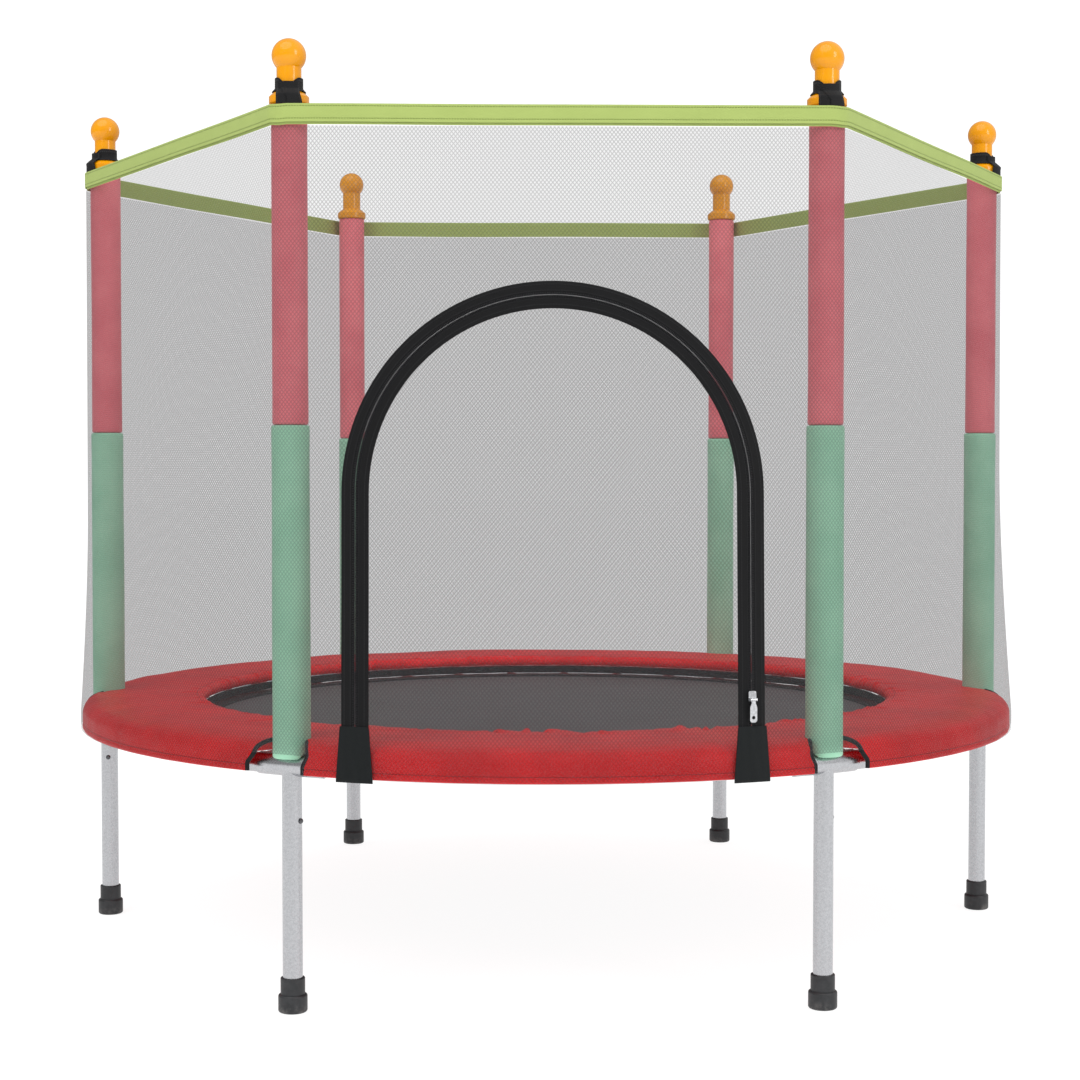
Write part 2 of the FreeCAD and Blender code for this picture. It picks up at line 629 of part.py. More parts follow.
def zip_slider():
    """Slider body with two cheeks and a bridge, built upright and then turned onto the tape."""
    body = Part.makeBox(2 * SLIDER_HALF_W, SLIDER_T, SLIDER_H, vec(-SLIDER_HALF_W, -SLIDER_T, 0))
    corners = [e for e in body.Edges if abs(e.Length - SLIDER_T) < FIT_GAP]
    body = body.makeFillet(SLIDER_ROUND, corners)
    bar_y = -SLIDER_T - BRIDGE_OUT
    along = vec(1, 0, 0)
    pieces = [Part.makeCylinder(BRIDGE_R, 2 * CHEEK_HALF, vec(-CHEEK_HALF, bar_y, BRIDGE_UP), along)]
    for x0 in (-CHEEK_HALF, CHEEK_HALF - CHEEK_T):
        pieces.append(Part.makeCylinder(CHEEK_R, CHEEK_T, vec(x0, bar_y, BRIDGE_UP), along))
        pieces.append(Part.makeBox(CHEEK_T, BRIDGE_OUT + 1, 2 * CHEEK_R,
                                   vec(x0, bar_y, BRIDGE_UP - CHEEK_R)))
    slider = body.fuse(pieces)
    slider.rotate(ORIGIN, along, -math.degrees(math.atan(SLIDER_LEAN)))
    slider.rotate(ORIGIN, Z_AXIS, SLIDER_YAW)
    slider.translate(slider_place())
    return slider


def zip_pull():
    """Flat tab that hangs from the bridge by its eye, with a round hole near its lower end."""
    along = vec(1, 0, 0)
    half = PULL_EYE_HALF
    y0 = -PULL_T / 2
    eye = Part.makeCylinder(PULL_EYE_R, 2 * half, vec(-half, 0, 0), along)
    neck = Part.makeBox(2 * half, PULL_T, PULL_SHOULDER + 1, vec(-half, y0, -PULL_SHOULDER - 1))
    outline = [
        (-half, -PULL_SHOULDER), (half, -PULL_SHOULDER), (PULL_HALF_W, -2 * PULL_SHOULDER),
        (PULL_HALF_W, 2 - PULL_LEN), (PULL_HALF_W - 2, -PULL_LEN), (2 - PULL_HALF_W, -PULL_LEN),
        (-PULL_HALF_W, 2 - PULL_LEN), (-PULL_HALF_W, -2 * PULL_SHOULDER),
    ]
    plate = closed_face([(x, y0, z) for x, z in outline]).extrude(vec(0, PULL_T, 0))
    bore = Part.makeCylinder(PULL_BORE_R, 4 * half, vec(-2 * half, 0, 0), along)
    hole = Part.makeCylinder(PULL_HOLE_R, 4 * PULL_T, vec(0, 2 * y0, PULL_HOLE_UP - PULL_LEN),
                             vec(0, 1, 0))
    pull = eye.fuse([neck, plate]).cut([bore, hole])
    pull.rotate(ORIGIN, Z_AXIS, SLIDER_YAW)
    pull.translate(bridge_place())
    return pull


# ---------------------------------------------------------------- the whole trampoline
def save_per_post(name, shape):
    """The same piece at every post, each in its own node."""
    for k in range(POST_COUNT):
        save(f"{name}_{k + 1}", turned(shape, k * STEP_DEG))


def main():
    os.makedirs("parts", exist_ok=True)
    posts = range(POST_COUNT)
    save_per_post("ring_rail", ring_rail())
    save_per_post("leg_socket", leg_socket())
    save_per_post("leg_tube", leg_tube())
    save_per_post("rubber_foot", foot())
    save_per_post("snap_button", snap_button())
    save_per_post("finial", finial())
    clip = clip_spring()
    lower_foam = foam_sleeve(FOAM_LOW_R, FOAM_BOTTOM_Z, FOAM_JOINT_Z)
    upper_foam = foam_sleeve(FOAM_HIGH_R, FOAM_JOINT_Z, COLLAR_Z)
    save("button_springs", [turned(clip, k * STEP_DEG) for k in posts])
    save("enclosure_posts", [enclosure_post(k) for k in posts])
    save("lower_foam", [turned(lower_foam, k * STEP_DEG) for k in posts])
    save("upper_foam", [turned(upper_foam, k * STEP_DEG) for k in posts])
    save("finial_straps", [finial_strap(k) for k in STRAP_TURNS])

    save("jumping_mat", jumping_mat())
    save("mat_border", mat_border())
    one_ring = v_ring()
    one_spring = spring()
    save("v_rings", [turned(one_ring, a) for a in spring_angles()])
    save("tension_springs", [turned(one_spring, a) for a in spring_angles()])
    save("frame_pad", frame_pad())
    save("pad_bindings", [edge_binding(k, side) for k in posts for side in (-1, 1)] + [inner_binding()])

    for k in posts:
        if k != FRONT:
            save(f"net_panel_{k + 1}", net_panel(k))
    save("net_front_panel", front_panel())
    save("top_band", top_band())
    zip_r = DOOR_OUTER_R - DOOR_TAPE_W
    save("door_outer_tape", door_ring(DOOR_OUTER_R, zip_r, DOOR_FOLD_Z))
    save("door_inner_tape", door_ring(zip_r - DOOR_GAP, zip_r - DOOR_TAPE_W, DOOR_FOLD_Z + DOOR_GAP))
    save("door_flap", door_flap())
    save("zip_tabs", [zip_tab(side) for side in (-1, 1)])
    save("zip_slider", zip_slider())
    save("zip_pull", zip_pull())


main()
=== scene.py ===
import math

import bpy
import numpy as np
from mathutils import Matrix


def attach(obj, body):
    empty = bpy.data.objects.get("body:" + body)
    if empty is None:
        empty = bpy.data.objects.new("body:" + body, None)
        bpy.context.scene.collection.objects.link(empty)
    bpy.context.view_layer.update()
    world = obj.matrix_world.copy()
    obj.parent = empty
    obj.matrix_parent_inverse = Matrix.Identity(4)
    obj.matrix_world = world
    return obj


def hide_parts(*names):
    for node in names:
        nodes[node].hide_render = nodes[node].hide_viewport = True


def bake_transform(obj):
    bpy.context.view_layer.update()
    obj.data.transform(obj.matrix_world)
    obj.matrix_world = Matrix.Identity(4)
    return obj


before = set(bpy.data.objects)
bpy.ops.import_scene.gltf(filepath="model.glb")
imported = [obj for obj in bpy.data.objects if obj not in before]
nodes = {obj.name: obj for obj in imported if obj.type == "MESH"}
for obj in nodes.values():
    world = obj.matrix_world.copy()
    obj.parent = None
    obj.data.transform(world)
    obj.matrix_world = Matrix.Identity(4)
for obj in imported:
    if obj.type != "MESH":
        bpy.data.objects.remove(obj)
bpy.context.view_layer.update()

# -------- sizes, in metres, as the CAD has them
POSTS = range(6)
FRONT = 4  # the panel with the doorway
POST_R = 0.672
RING_Z = 0.313
NET_BOTTOM_R, NET_BOTTOM_Z, NET_KNEE_Z, NET_TOP_Z = 0.7012, 0.306, 0.330, 1.112
NET_CORNER, SEAM = 0.0284, 1.2
DOOR_X, ARCH_Z, FOLD_Z, DOOR_R, TAPE_W = -0.009, 0.656, 0.354, 0.260, 0.017
ZIP_R = DOOR_R - TAPE_W
PAD_IN, PAD_OUT, PAD_TOP, PAD_HEM = 0.520, 0.700, 0.348, 0.305
NOTCH_HALF, NOTCH_KNEE, NOTCH_TOP = 0.044, 0.316, 0.3305
NOTCH_SHIFT = (0.0, 0.0, 0.0, 0.0, -0.009, 0.009)
SLOT_R, SLOT_SLOPE = 0.0246, 0.6786
PANEL_W, PANEL_H = 0.718, 0.806
MAT_R, BORDER_R, BORDER_W = 0.528, 0.5028, 0.0355
TOOTH_PITCH = 0.0021
SADDLE = 0.006  # how far the foam's lower end hangs over each side of the socket it rests on
STRAP_FACING = {0: -30.0, 3: 210.0, 4: 270.0, 5: 270.0}
SPRING_ANGLES = [10.0 * (k + 0.5) for k in range(36)]


# -------- mesh helpers
def mesh_object(name, verts, faces, uvs=None, material=None, sharp=None):
    """Object from points, faces and, if given, one UV pair per face corner."""
    mesh = bpy.data.meshes.new(name)
    mesh.from_pydata(np.asarray(verts, float).tolist(), [], [list(f) for f in faces])
    if uvs is not None:
        layer = mesh.uv_layers.new(name="UVMap")
        layer.data.foreach_set("uv", np.asarray(uvs, np.float32).ravel())
    mesh.validate()
    mesh.shade_smooth()
    if sharp is not None:
        mesh.set_sharp_from_angle(angle=math.radians(sharp))
    obj = bpy.data.objects.new(name, mesh)
    bpy.context.scene.collection.objects.link(obj)
    if material is not None:
        mesh.materials.append(material)
    return obj


def merge(parts):
    """One (verts, faces, uvs) from several."""
    verts, faces, uvs, base = [], [], [], 0
    for v, f, u in parts:
        v = np.asarray(v, float).reshape(-1, 3)
        verts.append(v)
        faces += [[i + base for i in face] for face in f]
        uvs.append(np.asarray(u, float).reshape(-1, 2))
        base += len(v)
    return np.concatenate(verts), faces, np.concatenate(uvs)


def grid(points, uv):
    """Open sheet from an array of rows and columns of points, with the same array of UVs."""
    rows, cols = points.shape[:2]
    i, j = np.meshgrid(np.arange(rows - 1), np.arange(cols - 1), indexing="ij")
    a = (i * cols + j).ravel()
    faces = np.stack([a, a + 1, a + cols + 1, a + cols], 1)
    return points.reshape(-1, 3), faces.tolist(), uv.reshape(-1, 2)[faces.ravel()]


def loft(rings, closed=False, along=None, around=None):
    """Skin over rings of points: (stations, points per ring, 3). UVs are metres along and round the skin."""
    n, k = rings.shape[:2]
    if along is None:
        mid = rings.mean(1)
        step = np.linalg.norm(np.roll(mid, -1, 0) - mid, axis=1)
        along = np.concatenate([[0], np.cumsum(step)])
    if around is None:
        ring = rings[n // 2]
        around = np.concatenate([[0], np.cumsum(np.linalg.norm(np.roll(ring, -1, 0) - ring, axis=1))])
    spans = n if closed else n - 1
    i, j = np.meshgrid(np.arange(spans), np.arange(k), indexing="ij")
    i, j = i.ravel(), j.ravel()
    i2, j2 = (i + 1) % n, (j + 1) % k
    faces = np.stack([i * k + j, i2 * k + j, i2 * k + j2, i * k + j2], 1).tolist()
    u0, u1, v0, v1 = along[i], along[i + 1], around[j], around[j + 1]
    uvs = np.stack([u0, v0, u1, v0, u1, v1, u0, v1], 1).reshape(-1, 2)
    if not closed:
        faces += [list(range(k)), [(n - 1) * k + m for m in range(k - 1, -1, -1)]]
        ends = np.concatenate([np.stack([np.full(k, along[0]), around[:k]], 1),
                               np.stack([np.full(k, along[n - 1]), around[:k][::-1]], 1)])
        uvs = np.concatenate([uvs, ends])
    return rings.reshape(-1, 3), faces, uvs


def rounded(width, height, edge, per_corner=3, flat_steps=1):
    """Closed outline of a flat strip with rounded edges: (across, up) pairs, across from 0 to width."""
    far, top = width - edge, height - edge
    corners = [(far, edge, -90), (far, top, 0), (edge, top, 90), (edge, edge, 180)]
    out = []
    for n, (x, y, start) in enumerate(corners):
        for m in range(per_corner + 1):
            a = math.radians(start + 90 * m / per_corner)
            out.append((x + edge * math.cos(a), y + edge * math.sin(a)))
        nx, _, ns = corners[(n + 1) % 4]
        if n in (1, 3) and flat_steps > 1:
            x0, y0 = out[-1]
            x1 = nx + edge * math.cos(math.radians(ns))
            for m in range(1, flat_steps):
                out.append((x0 + (x1 - x0) * m / flat_steps, y0))
    return np.array(out)


def lengths_along(points):
    """How far along a line each of its points lies."""
    return np.concatenate([[0], np.cumsum(np.linalg.norm(np.diff(points, axis=0), axis=1))])


def turn(points, deg):
    """Points turned about the Z axis."""
    c, s = math.cos(math.radians(deg)), math.sin(math.radians(deg))
    p = np.asarray(points, float)
    return np.stack([p[..., 0] * c - p[..., 1] * s, p[..., 0] * s + p[..., 1] * c, p[..., 2]], -1)


def smooth(x, low, high):
    t = np.clip((np.asarray(x, float) - low) / (high - low), 0, 1)
    return t * t * (3 - 2 * t)


def waves(seed, count, low, high):
    """Repeatable sum of sine waves of one angle, as a function with values about -1 to 1."""
    rng = np.random.default_rng(seed)
    turns = rng.integers(low, high, count)
    phases = rng.uniform(0, 2 * math.pi, count)
    sizes = rng.uniform(0.4, 1.0, count)

    def value(angle):
        angle = np.asarray(angle, float)[..., None]
        return (np.sin(angle * turns + phases) * sizes).sum(-1) / sizes.sum() * 1.8
    return value


def polar(r, theta, z):
    return np.stack([r * np.cos(theta), r * np.sin(theta), z], -1)


def post_axis(k):
    angle = math.radians(60 * k)
    return np.array([POST_R * math.cos(angle), POST_R * math.sin(angle), 0.0])


def stand_in(piece, body, replaced):
    """A piece that rides on a body in place of a CAD node, which is hidden."""
    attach(piece, body)
    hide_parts(replaced)


# -------- material helpers
def node(tree, kind, inputs=None, **settings):
    """A shader node. An input is given as a value of its own or as another node's output."""
    made = tree.nodes.new(kind)
    for key, value in settings.items():
        setattr(made, key, value)
    for key, value in (inputs or {}).items():
        if isinstance(value, bpy.types.NodeSocket):
            tree.links.new(value, made.inputs[key])
        else:
            made.inputs[key].default_value = value
    return made


def calc(tree, operation, a, b=0.0, c=0.0):
    return node(tree, "ShaderNodeMath", {0: a, 1: b, 2: c}, operation=operation).outputs[0]


def step_map(tree, value, low, high, to_low=0.0, to_high=1.0):
    n = node(tree, "ShaderNodeMapRange", {"Value": value, "From Min": low, "From Max": high,
                                          "To Min": to_low, "To Max": to_high},
             interpolation_type="SMOOTHSTEP")
    return n.outputs["Result"]


def mix_colour(tree, factor, a, b):
    return node(tree, "ShaderNodeMix", {0: factor, 6: a, 7: b}, data_type="RGBA").outputs[2]


def rgb(r, g, b):
    """Colour from 0-255 display values."""
    return tuple(c / 12.92 if c <= 0.04045 else ((c + 0.055) / 1.055) ** 2.4
                 for c in (r / 255, g / 255, b / 255)) + (1.0,)


def noise(tree, vector, scale, detail=3.0, rough=0.55):
    return node(tree, "ShaderNodeTexNoise", {"Vector": vector, "Scale": scale, "Detail": detail,
                                             "Roughness": rough}).outputs["Fac"]


def start_material(name, **principled):
    """A material with its tree and Principled node."""
    mat = bpy.data.materials.new(name)
    mat.use_nodes = True
    tree = mat.node_tree
    shader = tree.nodes["Principled BSDF"]
    for key, value in principled.items():
        shader.inputs[key.replace("_", " ")].default_value = value
    return mat, tree, shader


def place(tree, kind="Object"):
    return node(tree, "ShaderNodeTexCoord").outputs[kind]


def split(tree, vector):
    n = node(tree, "ShaderNodeSeparateXYZ", {0: vector})
    return n.outputs[0], n.outputs[1], n.outputs[2]


def bump(tree, shader, height, distance, strength=1.0):
    n = node(tree, "ShaderNodeBump", {"Height": height, "Distance": distance, "Strength": strength})
    tree.links.new(n.outputs[0], shader.inputs["Normal"])


def weave(tree, u, v, pitch_u, pitch_v):
    """Height of a plain weave: threads going over and under, 0 to 1."""
    a = calc(tree, "SINE", calc(tree, "MULTIPLY", u, math.pi / pitch_u))
    b = calc(tree, "SINE", calc(tree, "MULTIPLY", v, math.pi / pitch_v))
    return calc(tree, "MULTIPLY_ADD", calc(tree, "MULTIPLY", a, b), 0.5, 0.5)


def nearest(tree, v, lines):
    """Distance from v to the nearest of the lines."""
    gaps = [calc(tree, "ABSOLUTE", calc(tree, "SUBTRACT", v, line)) for line in lines]
    least = gaps[0]
    for gap in gaps[1:]:
        least = calc(tree, "MINIMUM", least, gap)
    return least


def stitches(tree, u, v, lines, pitch, half_width):
    """1 on the threads of stitch lines at the given v values, else 0."""
    near = step_map(tree, nearest(tree, v, lines), half_width, half_width * 0.4)
    phase = calc(tree, "PINGPONG", calc(tree, "DIVIDE", u, pitch), 0.5)
    return calc(tree, "MULTIPLY", near, step_map(tree, phase, 0.09, 0.17))


# -------- materials
def steel(name, low, high, rough, streak_axis):
    """Zinc-plated tube: brushed along its length, with faint spangle."""
    mat, tree, shader = start_material(name, Metallic=1.0)
    where = place(tree)
    scale = {"z": (900, 900, 14), "ring": (160, 160, 900)}[streak_axis]
    stretched = node(tree, "ShaderNodeMapping", {"Vector": where, "Scale": scale}).outputs[0]
    streak = noise(tree, stretched, 1.0, 4.0)
    spangle = noise(tree, where, 320.0, 2.0)
    tree.links.new(mix_colour(tree, step_map(tree, spangle, 0.3, 0.7), low, high), shader.inputs["Base Color"])
    amount = calc(tree, "MULTIPLY_ADD", streak, 0.14, rough - 0.09)
    tree.links.new(calc(tree, "MULTIPLY_ADD", spangle, 0.05, amount), shader.inputs["Roughness"])
    bump(tree, shader, streak, 0.00005, 0.4)
    return mat


def plastic_knob():
    mat, tree, shader = start_material("knob_plastic", Roughness=0.16, IOR=1.42, Coat_Weight=0.12,
                                       Coat_Roughness=0.06)
    where = place(tree)
    cloud = noise(tree, where, 55.0, 2.0)
    tree.links.new(mix_colour(tree, cloud, rgb(230, 148, 0), rgb(240, 162, 6)), shader.inputs["Base Color"])
    peel = noise(tree, where, 420.0, 2.0)
    bump(tree, shader, peel, 0.00005, 0.5)
    return mat


def rubber():
    mat, tree, shader = start_material("foot_rubber", Specular_IOR_Level=0.45)
    where = place(tree)
    grain = noise(tree, where, 900.0, 3.0)
    scuff = noise(tree, where, 70.0, 5.0, 0.7)
    z = split(tree, where)[2]
    dust = calc(tree, "MULTIPLY", step_map(tree, z, 0.014, 0.0), step_map(tree, scuff, 0.42, 0.68))
    tone = mix_colour(tree, step_map(tree, scuff, 0.35, 0.75), rgb(34, 35, 37), rgb(52, 53, 55))
    tree.links.new(mix_colour(tree, dust, tone, rgb(92, 90, 88)), shader.inputs["Base Color"])
    tree.links.new(calc(tree, "MULTIPLY_ADD", scuff, 0.35, 0.32), shader.inputs["Roughness"])
    bump(tree, shader, grain, 0.00012, 0.6)
    return mat


def foam(name, dark, light):
    """Closed-cell foam tube: fine cells with painted shade in their pits, a soft bloom, faint handling marks.
    """
    mat, tree, shader = start_material(name, Roughness=0.62, Specular_IOR_Level=0.3, Sheen_Weight=0.12,
                                       Sheen_Roughness=0.5)
    where = place(tree)
    cells = node(tree, "ShaderNodeTexVoronoi", {"Vector": where, "Scale": 620.0}).outputs["Distance"]
    patch = noise(tree, where, 16.0, 4.0)
    fine = noise(tree, where, 260.0, 2.0)
    tone = mix_colour(tree, step_map(tree, patch, 0.3, 0.7), dark, light)
    # painted shade: the tone darkens a little in the pits at the cells' middles
    pit_shade = step_map(tree, cells, 0.1, 0.55)
    tone = mix_colour(tree, calc(tree, "MULTIPLY_ADD", pit_shade, 0.2, 0.8), dark, tone)
    tree.links.new(tone, shader.inputs["Base Color"])
    bump(tree, shader, calc(tree, "ADD", cells, calc(tree, "MULTIPLY", fine, 0.8)), 0.00022, 0.8)
    return mat


def webbing(name, dark, light, lines=(), stitch_tone=None, rib=0.0022):
    """Ribbed woven tape with stitch lines and painted shade between its ribs, on UVs in metres: u along it, v
    across it.
    """
    mat, tree, shader = start_material(name, Specular_IOR_Level=0.22, Sheen_Weight=0.06, Sheen_Roughness=0.45)
    u, v, _ = split(tree, place(tree, "UV"))
    cloth = weave(tree, u, v, rib * 0.5, rib)
    fuzz = noise(tree, place(tree), 700.0, 3.0)
    worn = noise(tree, place(tree), 24.0, 4.0)
    # painted shade: the tone is darker where the weave's threads lie low, mixed with random wear
    rib_shade_and_wear = calc(tree, "MULTIPLY_ADD", cloth, 0.6, calc(tree, "MULTIPLY", worn, 0.4))
    tone = mix_colour(tree, rib_shade_and_wear, dark, light)
    height = calc(tree, "MULTIPLY_ADD", fuzz, 0.35, cloth)
    if lines:
        thread = stitches(tree, u, v, lines, 0.0034, 0.00075)
        tone = mix_colour(tree, thread, tone, stitch_tone)
        seam = step_map(tree, nearest(tree, v, lines), 0.0, 0.0018)
        height = calc(tree, "MULTIPLY_ADD", seam, 1.4, height)
        height = calc(tree, "MULTIPLY_ADD", thread, 1.8, height)
    tree.links.new(tone, shader.inputs["Base Color"])
    tree.links.new(calc(tree, "MULTIPLY_ADD", fuzz, 0.2, 0.6), shader.inputs["Roughness"])
    bump(tree, shader, height, 0.00035, 0.8)
    return mat


def mat_cloth():
    """Woven polypropylene bed: tight plain weave of flat tapes, with painted shade between them."""
    mat, tree, shader = start_material("mat_fabric", Specular_IOR_Level=0.25, Sheen_Weight=0.08)
    u, v, _ = split(tree, place(tree, "UV"))
    cloth = weave(tree, u, v, 0.0022, 0.0022)
    patch = noise(tree, place(tree), 9.0, 4.0)
    fuzz = noise(tree, place(tree), 900.0, 2.0)
    # painted shade: the tone is darker where the weave lies low, between the tapes
    tone = mix_colour(tree, cloth, rgb(58, 55, 56), rgb(98, 94, 95))
    tone = mix_colour(tree, step_map(tree, patch, 0.35, 0.7), tone, rgb(86, 82, 84))
    tree.links.new(tone, shader.inputs["Base Color"])
    tree.links.new(calc(tree, "MULTIPLY_ADD", fuzz, 0.25, 0.42), shader.inputs["Roughness"])
    bump(tree, shader, calc(tree, "MULTIPLY_ADD", fuzz, 0.2, cloth), 0.0004, 0.8)
    return mat


def vinyl():
    """Coated pad cover: fine embossed grain, slight colour drift, darker near its hem, stitched hem."""
    mat, tree, shader = start_material("pad_vinyl", IOR=1.45, Specular_IOR_Level=0.35,
                                       Specular_Tint=(1.0, 0.38, 0.38, 1.0))
    where = place(tree)
    x, y, z = split(tree, where)
    grain = node(tree, "ShaderNodeTexVoronoi",
                 {"Vector": where, "Scale": 480.0, "Randomness": 0.9}).outputs["Distance"]
    patch = noise(tree, where, 13.0, 5.0)
    fine = noise(tree, where, 130.0, 3.0)
    tone = mix_colour(tree, step_map(tree, patch, 0.3, 0.7), rgb(222, 14, 19), rgb(246, 25, 30))
    along = calc(tree, "MULTIPLY", calc(tree, "ARCTAN2", y, x), PAD_OUT)
    radius = calc(tree, "SQRT", calc(tree, "ADD", calc(tree, "MULTIPLY", x, x), calc(tree, "MULTIPLY", y, y)))
    hem_thread = calc(tree, "MULTIPLY", stitches(tree, along, z, (PAD_HEM + 0.0085,), 0.0042, 0.0008),
                      step_map(tree, radius, PAD_OUT - 0.008, PAD_OUT - 0.004))
    inner_thread = calc(tree, "MULTIPLY", stitches(tree, along, radius, (PAD_IN + 0.012,), 0.0058, 0.0009),
                        step_map(tree, z, PAD_TOP - 0.01, PAD_TOP - 0.006))
    thread = calc(tree, "MAXIMUM", hem_thread, inner_thread)
    tree.links.new(mix_colour(tree, thread, tone, rgb(150, 10, 16)), shader.inputs["Base Color"])
    tree.links.new(calc(tree, "MULTIPLY_ADD", fine, 0.2, 0.3), shader.inputs["Roughness"])
    height = calc(tree, "MULTIPLY_ADD", thread, 2.5, calc(tree, "MULTIPLY_ADD", fine, 0.8, grain))
    bump(tree, shader, height, 0.00025, 0.7)
    return mat


def net_cloth():
    """Knitted safety net: staggered rows of small holes between soft yarns."""
    mat, tree, shader = start_material("net_mesh", Roughness=0.8, Specular_IOR_Level=0.12)
    u, v, _ = split(tree, place(tree, "UV"))
    across = calc(tree, "DIVIDE", u, 0.0050)
    up = calc(tree, "DIVIDE", v, 0.0060)
    a = calc(tree, "PINGPONG", calc(tree, "ADD", across, up), 0.5)
    b = calc(tree, "PINGPONG", calc(tree, "SUBTRACT", across, up), 0.5)
    yarn_a, yarn_b = step_map(tree, a, 0.24, 0.06), step_map(tree, b, 0.24, 0.06)
    yarn = calc(tree, "MAXIMUM", yarn_a, yarn_b)
    knot = step_map(tree, calc(tree, "ADD", a, b), 0.36, 0.2)
    solid = calc(tree, "MAXIMUM", yarn, knot)
    fibre = noise(tree, place(tree), 500.0, 2.0)
    tone = mix_colour(tree, fibre, rgb(72, 72, 74), rgb(96, 96, 98))
    tree.links.new(tone, shader.inputs["Base Color"])
    glow = node(tree, "ShaderNodeBsdfTranslucent", {"Color": tone})
    both = node(tree, "ShaderNodeMixShader", {0: 0.4, 1: shader.outputs[0], 2: glow.outputs[0]})
    clear = node(tree, "ShaderNodeBsdfTransparent")
    share = step_map(tree, solid, 0.0, 1.0, 0.27, 0.49)
    full = node(tree, "ShaderNodeMixShader", {0: share, 1: clear.outputs[0], 2: both.outputs[0]})
    tree.links.new(full.outputs[0], tree.nodes["Material Output"].inputs["Surface"])
    return mat


GALVANISED = steel("galvanised_tube", rgb(178, 179, 182), rgb(190, 191, 194), 0.27, "z")
GALVANISED_RING = steel("galvanised_ring", rgb(178, 179, 182), rgb(190, 191, 194), 0.27, "ring")
SPRING_STEEL = steel("spring_steel", rgb(150, 150, 152), rgb(190, 190, 192), 0.28, "ring")
ZIP_METAL = steel("zip_metal", rgb(186, 187, 190), rgb(212, 213, 216), 0.22, "z")
BUTTON_STEEL = steel("button_steel", rgb(84, 85, 88), rgb(112, 113, 116), 0.4, "z")
KNOB = plastic_knob()
RUBBER = rubber()
GREEN_FOAM = foam("green_foam", rgb(158, 214, 182), rgb(172, 226, 194))
RED_FOAM = foam("red_foam", rgb(232, 116, 126), rgb(246, 132, 140))
STRAP_WEB = webbing("strap_webbing", rgb(14, 14, 15), rgb(30, 30, 32), (0.0030, 0.0270), rgb(44, 44, 46))
BINDING_WEB = webbing("binding_webbing", rgb(14, 14, 15), rgb(30, 30, 32), rib=0.0014)
BORDER_WEB = webbing("border_webbing", rgb(18, 18, 19), rgb(36, 36, 38), (0.005, 0.012, 0.030), rgb(60, 60, 62))
BAND_WEB = webbing("band_fabric", rgb(154, 172, 94), rgb(178, 196, 114), (0.0042, 0.0195), rgb(124, 142, 70),
                   rib=0.0016)
TAPE_WEB = webbing("zip_tape", rgb(6, 6, 7), rgb(16, 16, 18), (0.0052, 0.0128), rgb(28, 28, 30), rib=0.0012)
TAB_WEB = webbing("tab_fabric", rgb(10, 14, 15), rgb(22, 26, 27), rib=0.0012)
MAT_CLOTH = mat_cloth()
VINYL = vinyl()
NET = net_cloth()


# -------- carried-over CAD nodes
def dress(name, material):
    mesh = nodes[name].data
    mesh.materials.clear()
    mesh.materials.append(material)


for kind, material in (("ring_rail", GALVANISED_RING), ("leg_socket", GALVANISED), ("leg_tube", GALVANISED),
                       ("rubber_foot", RUBBER), ("snap_button", BUTTON_STEEL), ("finial", KNOB)):
    for k in POSTS:
        dress(f"{kind}_{k + 1}", material)
dress("button_springs", SPRING_STEEL)
dress("enclosure_posts", GALVANISED)
dress("v_rings", SPRING_STEEL)
dress("zip_slider", ZIP_METAL)
dress("zip_pull", ZIP_METAL)


# -------- the net's surface
def slot_half(radius):
    """Half-width of a post's slot, which widens from the foam sleeve to the pad's outside."""
    return SLOT_R + SLOT_SLOPE * (radius - POST_R)


def net_xy(k, s, z, off=0.0):
    """Point on the net of panel k. s runs 0-1 round a post, 1-2 between the posts, 2-3 round the next."""
    s, z, off = np.broadcast_arrays(np.asarray(s, float), np.asarray(z, float), np.asarray(off, float))
    a0, a1 = 60.0 * k, 60.0 * (k + 1)
    low = np.radians(np.interp(s, [0, 1, 2, 3], [a0, a0 + SEAM, a1 - SEAM, a1]))
    high = np.radians(np.interp(s, [0, 1, 2, 3], [a0, a0 + 30, a0 + 30, a1]))
    share = np.clip(s - 1, 0, 1)
    first, last = math.radians(a0), math.radians(a1)
    cx = POST_R * (math.cos(first) * (1 - share) + math.cos(last) * share)
    cy = POST_R * (math.sin(first) * (1 - share) + math.sin(last) * share)
    t = np.clip((z - NET_KNEE_Z) / (NET_TOP_Z - NET_KNEE_Z), 0, 1)
    x = (1 - t) * (NET_BOTTOM_R + off) * np.cos(low) + t * (cx + (NET_CORNER + off) * np.cos(high))
    y = (1 - t) * (NET_BOTTOM_R + off) * np.sin(low) + t * (cy + (NET_CORNER + off) * np.sin(high))
    return np.stack([x, y, z], -1)


def cloth_u(s):
    """Metres of cloth from the panel's first seam."""
    return np.interp(s, [0, 1, 2, 3], [0, 0.0152, 0.7028, PANEL_W])


def front_s(x, z):
    """The s of the front panel's point at x, z."""
    x, z = np.broadcast_arrays(np.asarray(x, float), np.asarray(z, float))
    low, high = np.ones(x.shape), np.full(x.shape, 2.0)
    for _ in range(40):
        mid = (low + high) / 2
        right = net_xy(FRONT, mid, z)[..., 0] < x
        low, high = np.where(right, mid, low), np.where(right, high, mid)
    return (low + high) / 2


def front_point(x, z, off=0.0):
    """Point of the front panel at x, z, off metres outside the net's inner face."""
    return net_xy(FRONT, front_s(x, z), z, off)


def net_grid(k, s, z):
    """Sheet of net over arrays of s and z."""
    return grid(net_xy(k, s, z, 0.0005), np.stack([cloth_u(s) + 0.7 * k, z], -1))


COLUMNS = np.concatenate([np.linspace(0, 0.8, 5), np.linspace(1, 2, 49), np.linspace(2.2, 3, 5)])


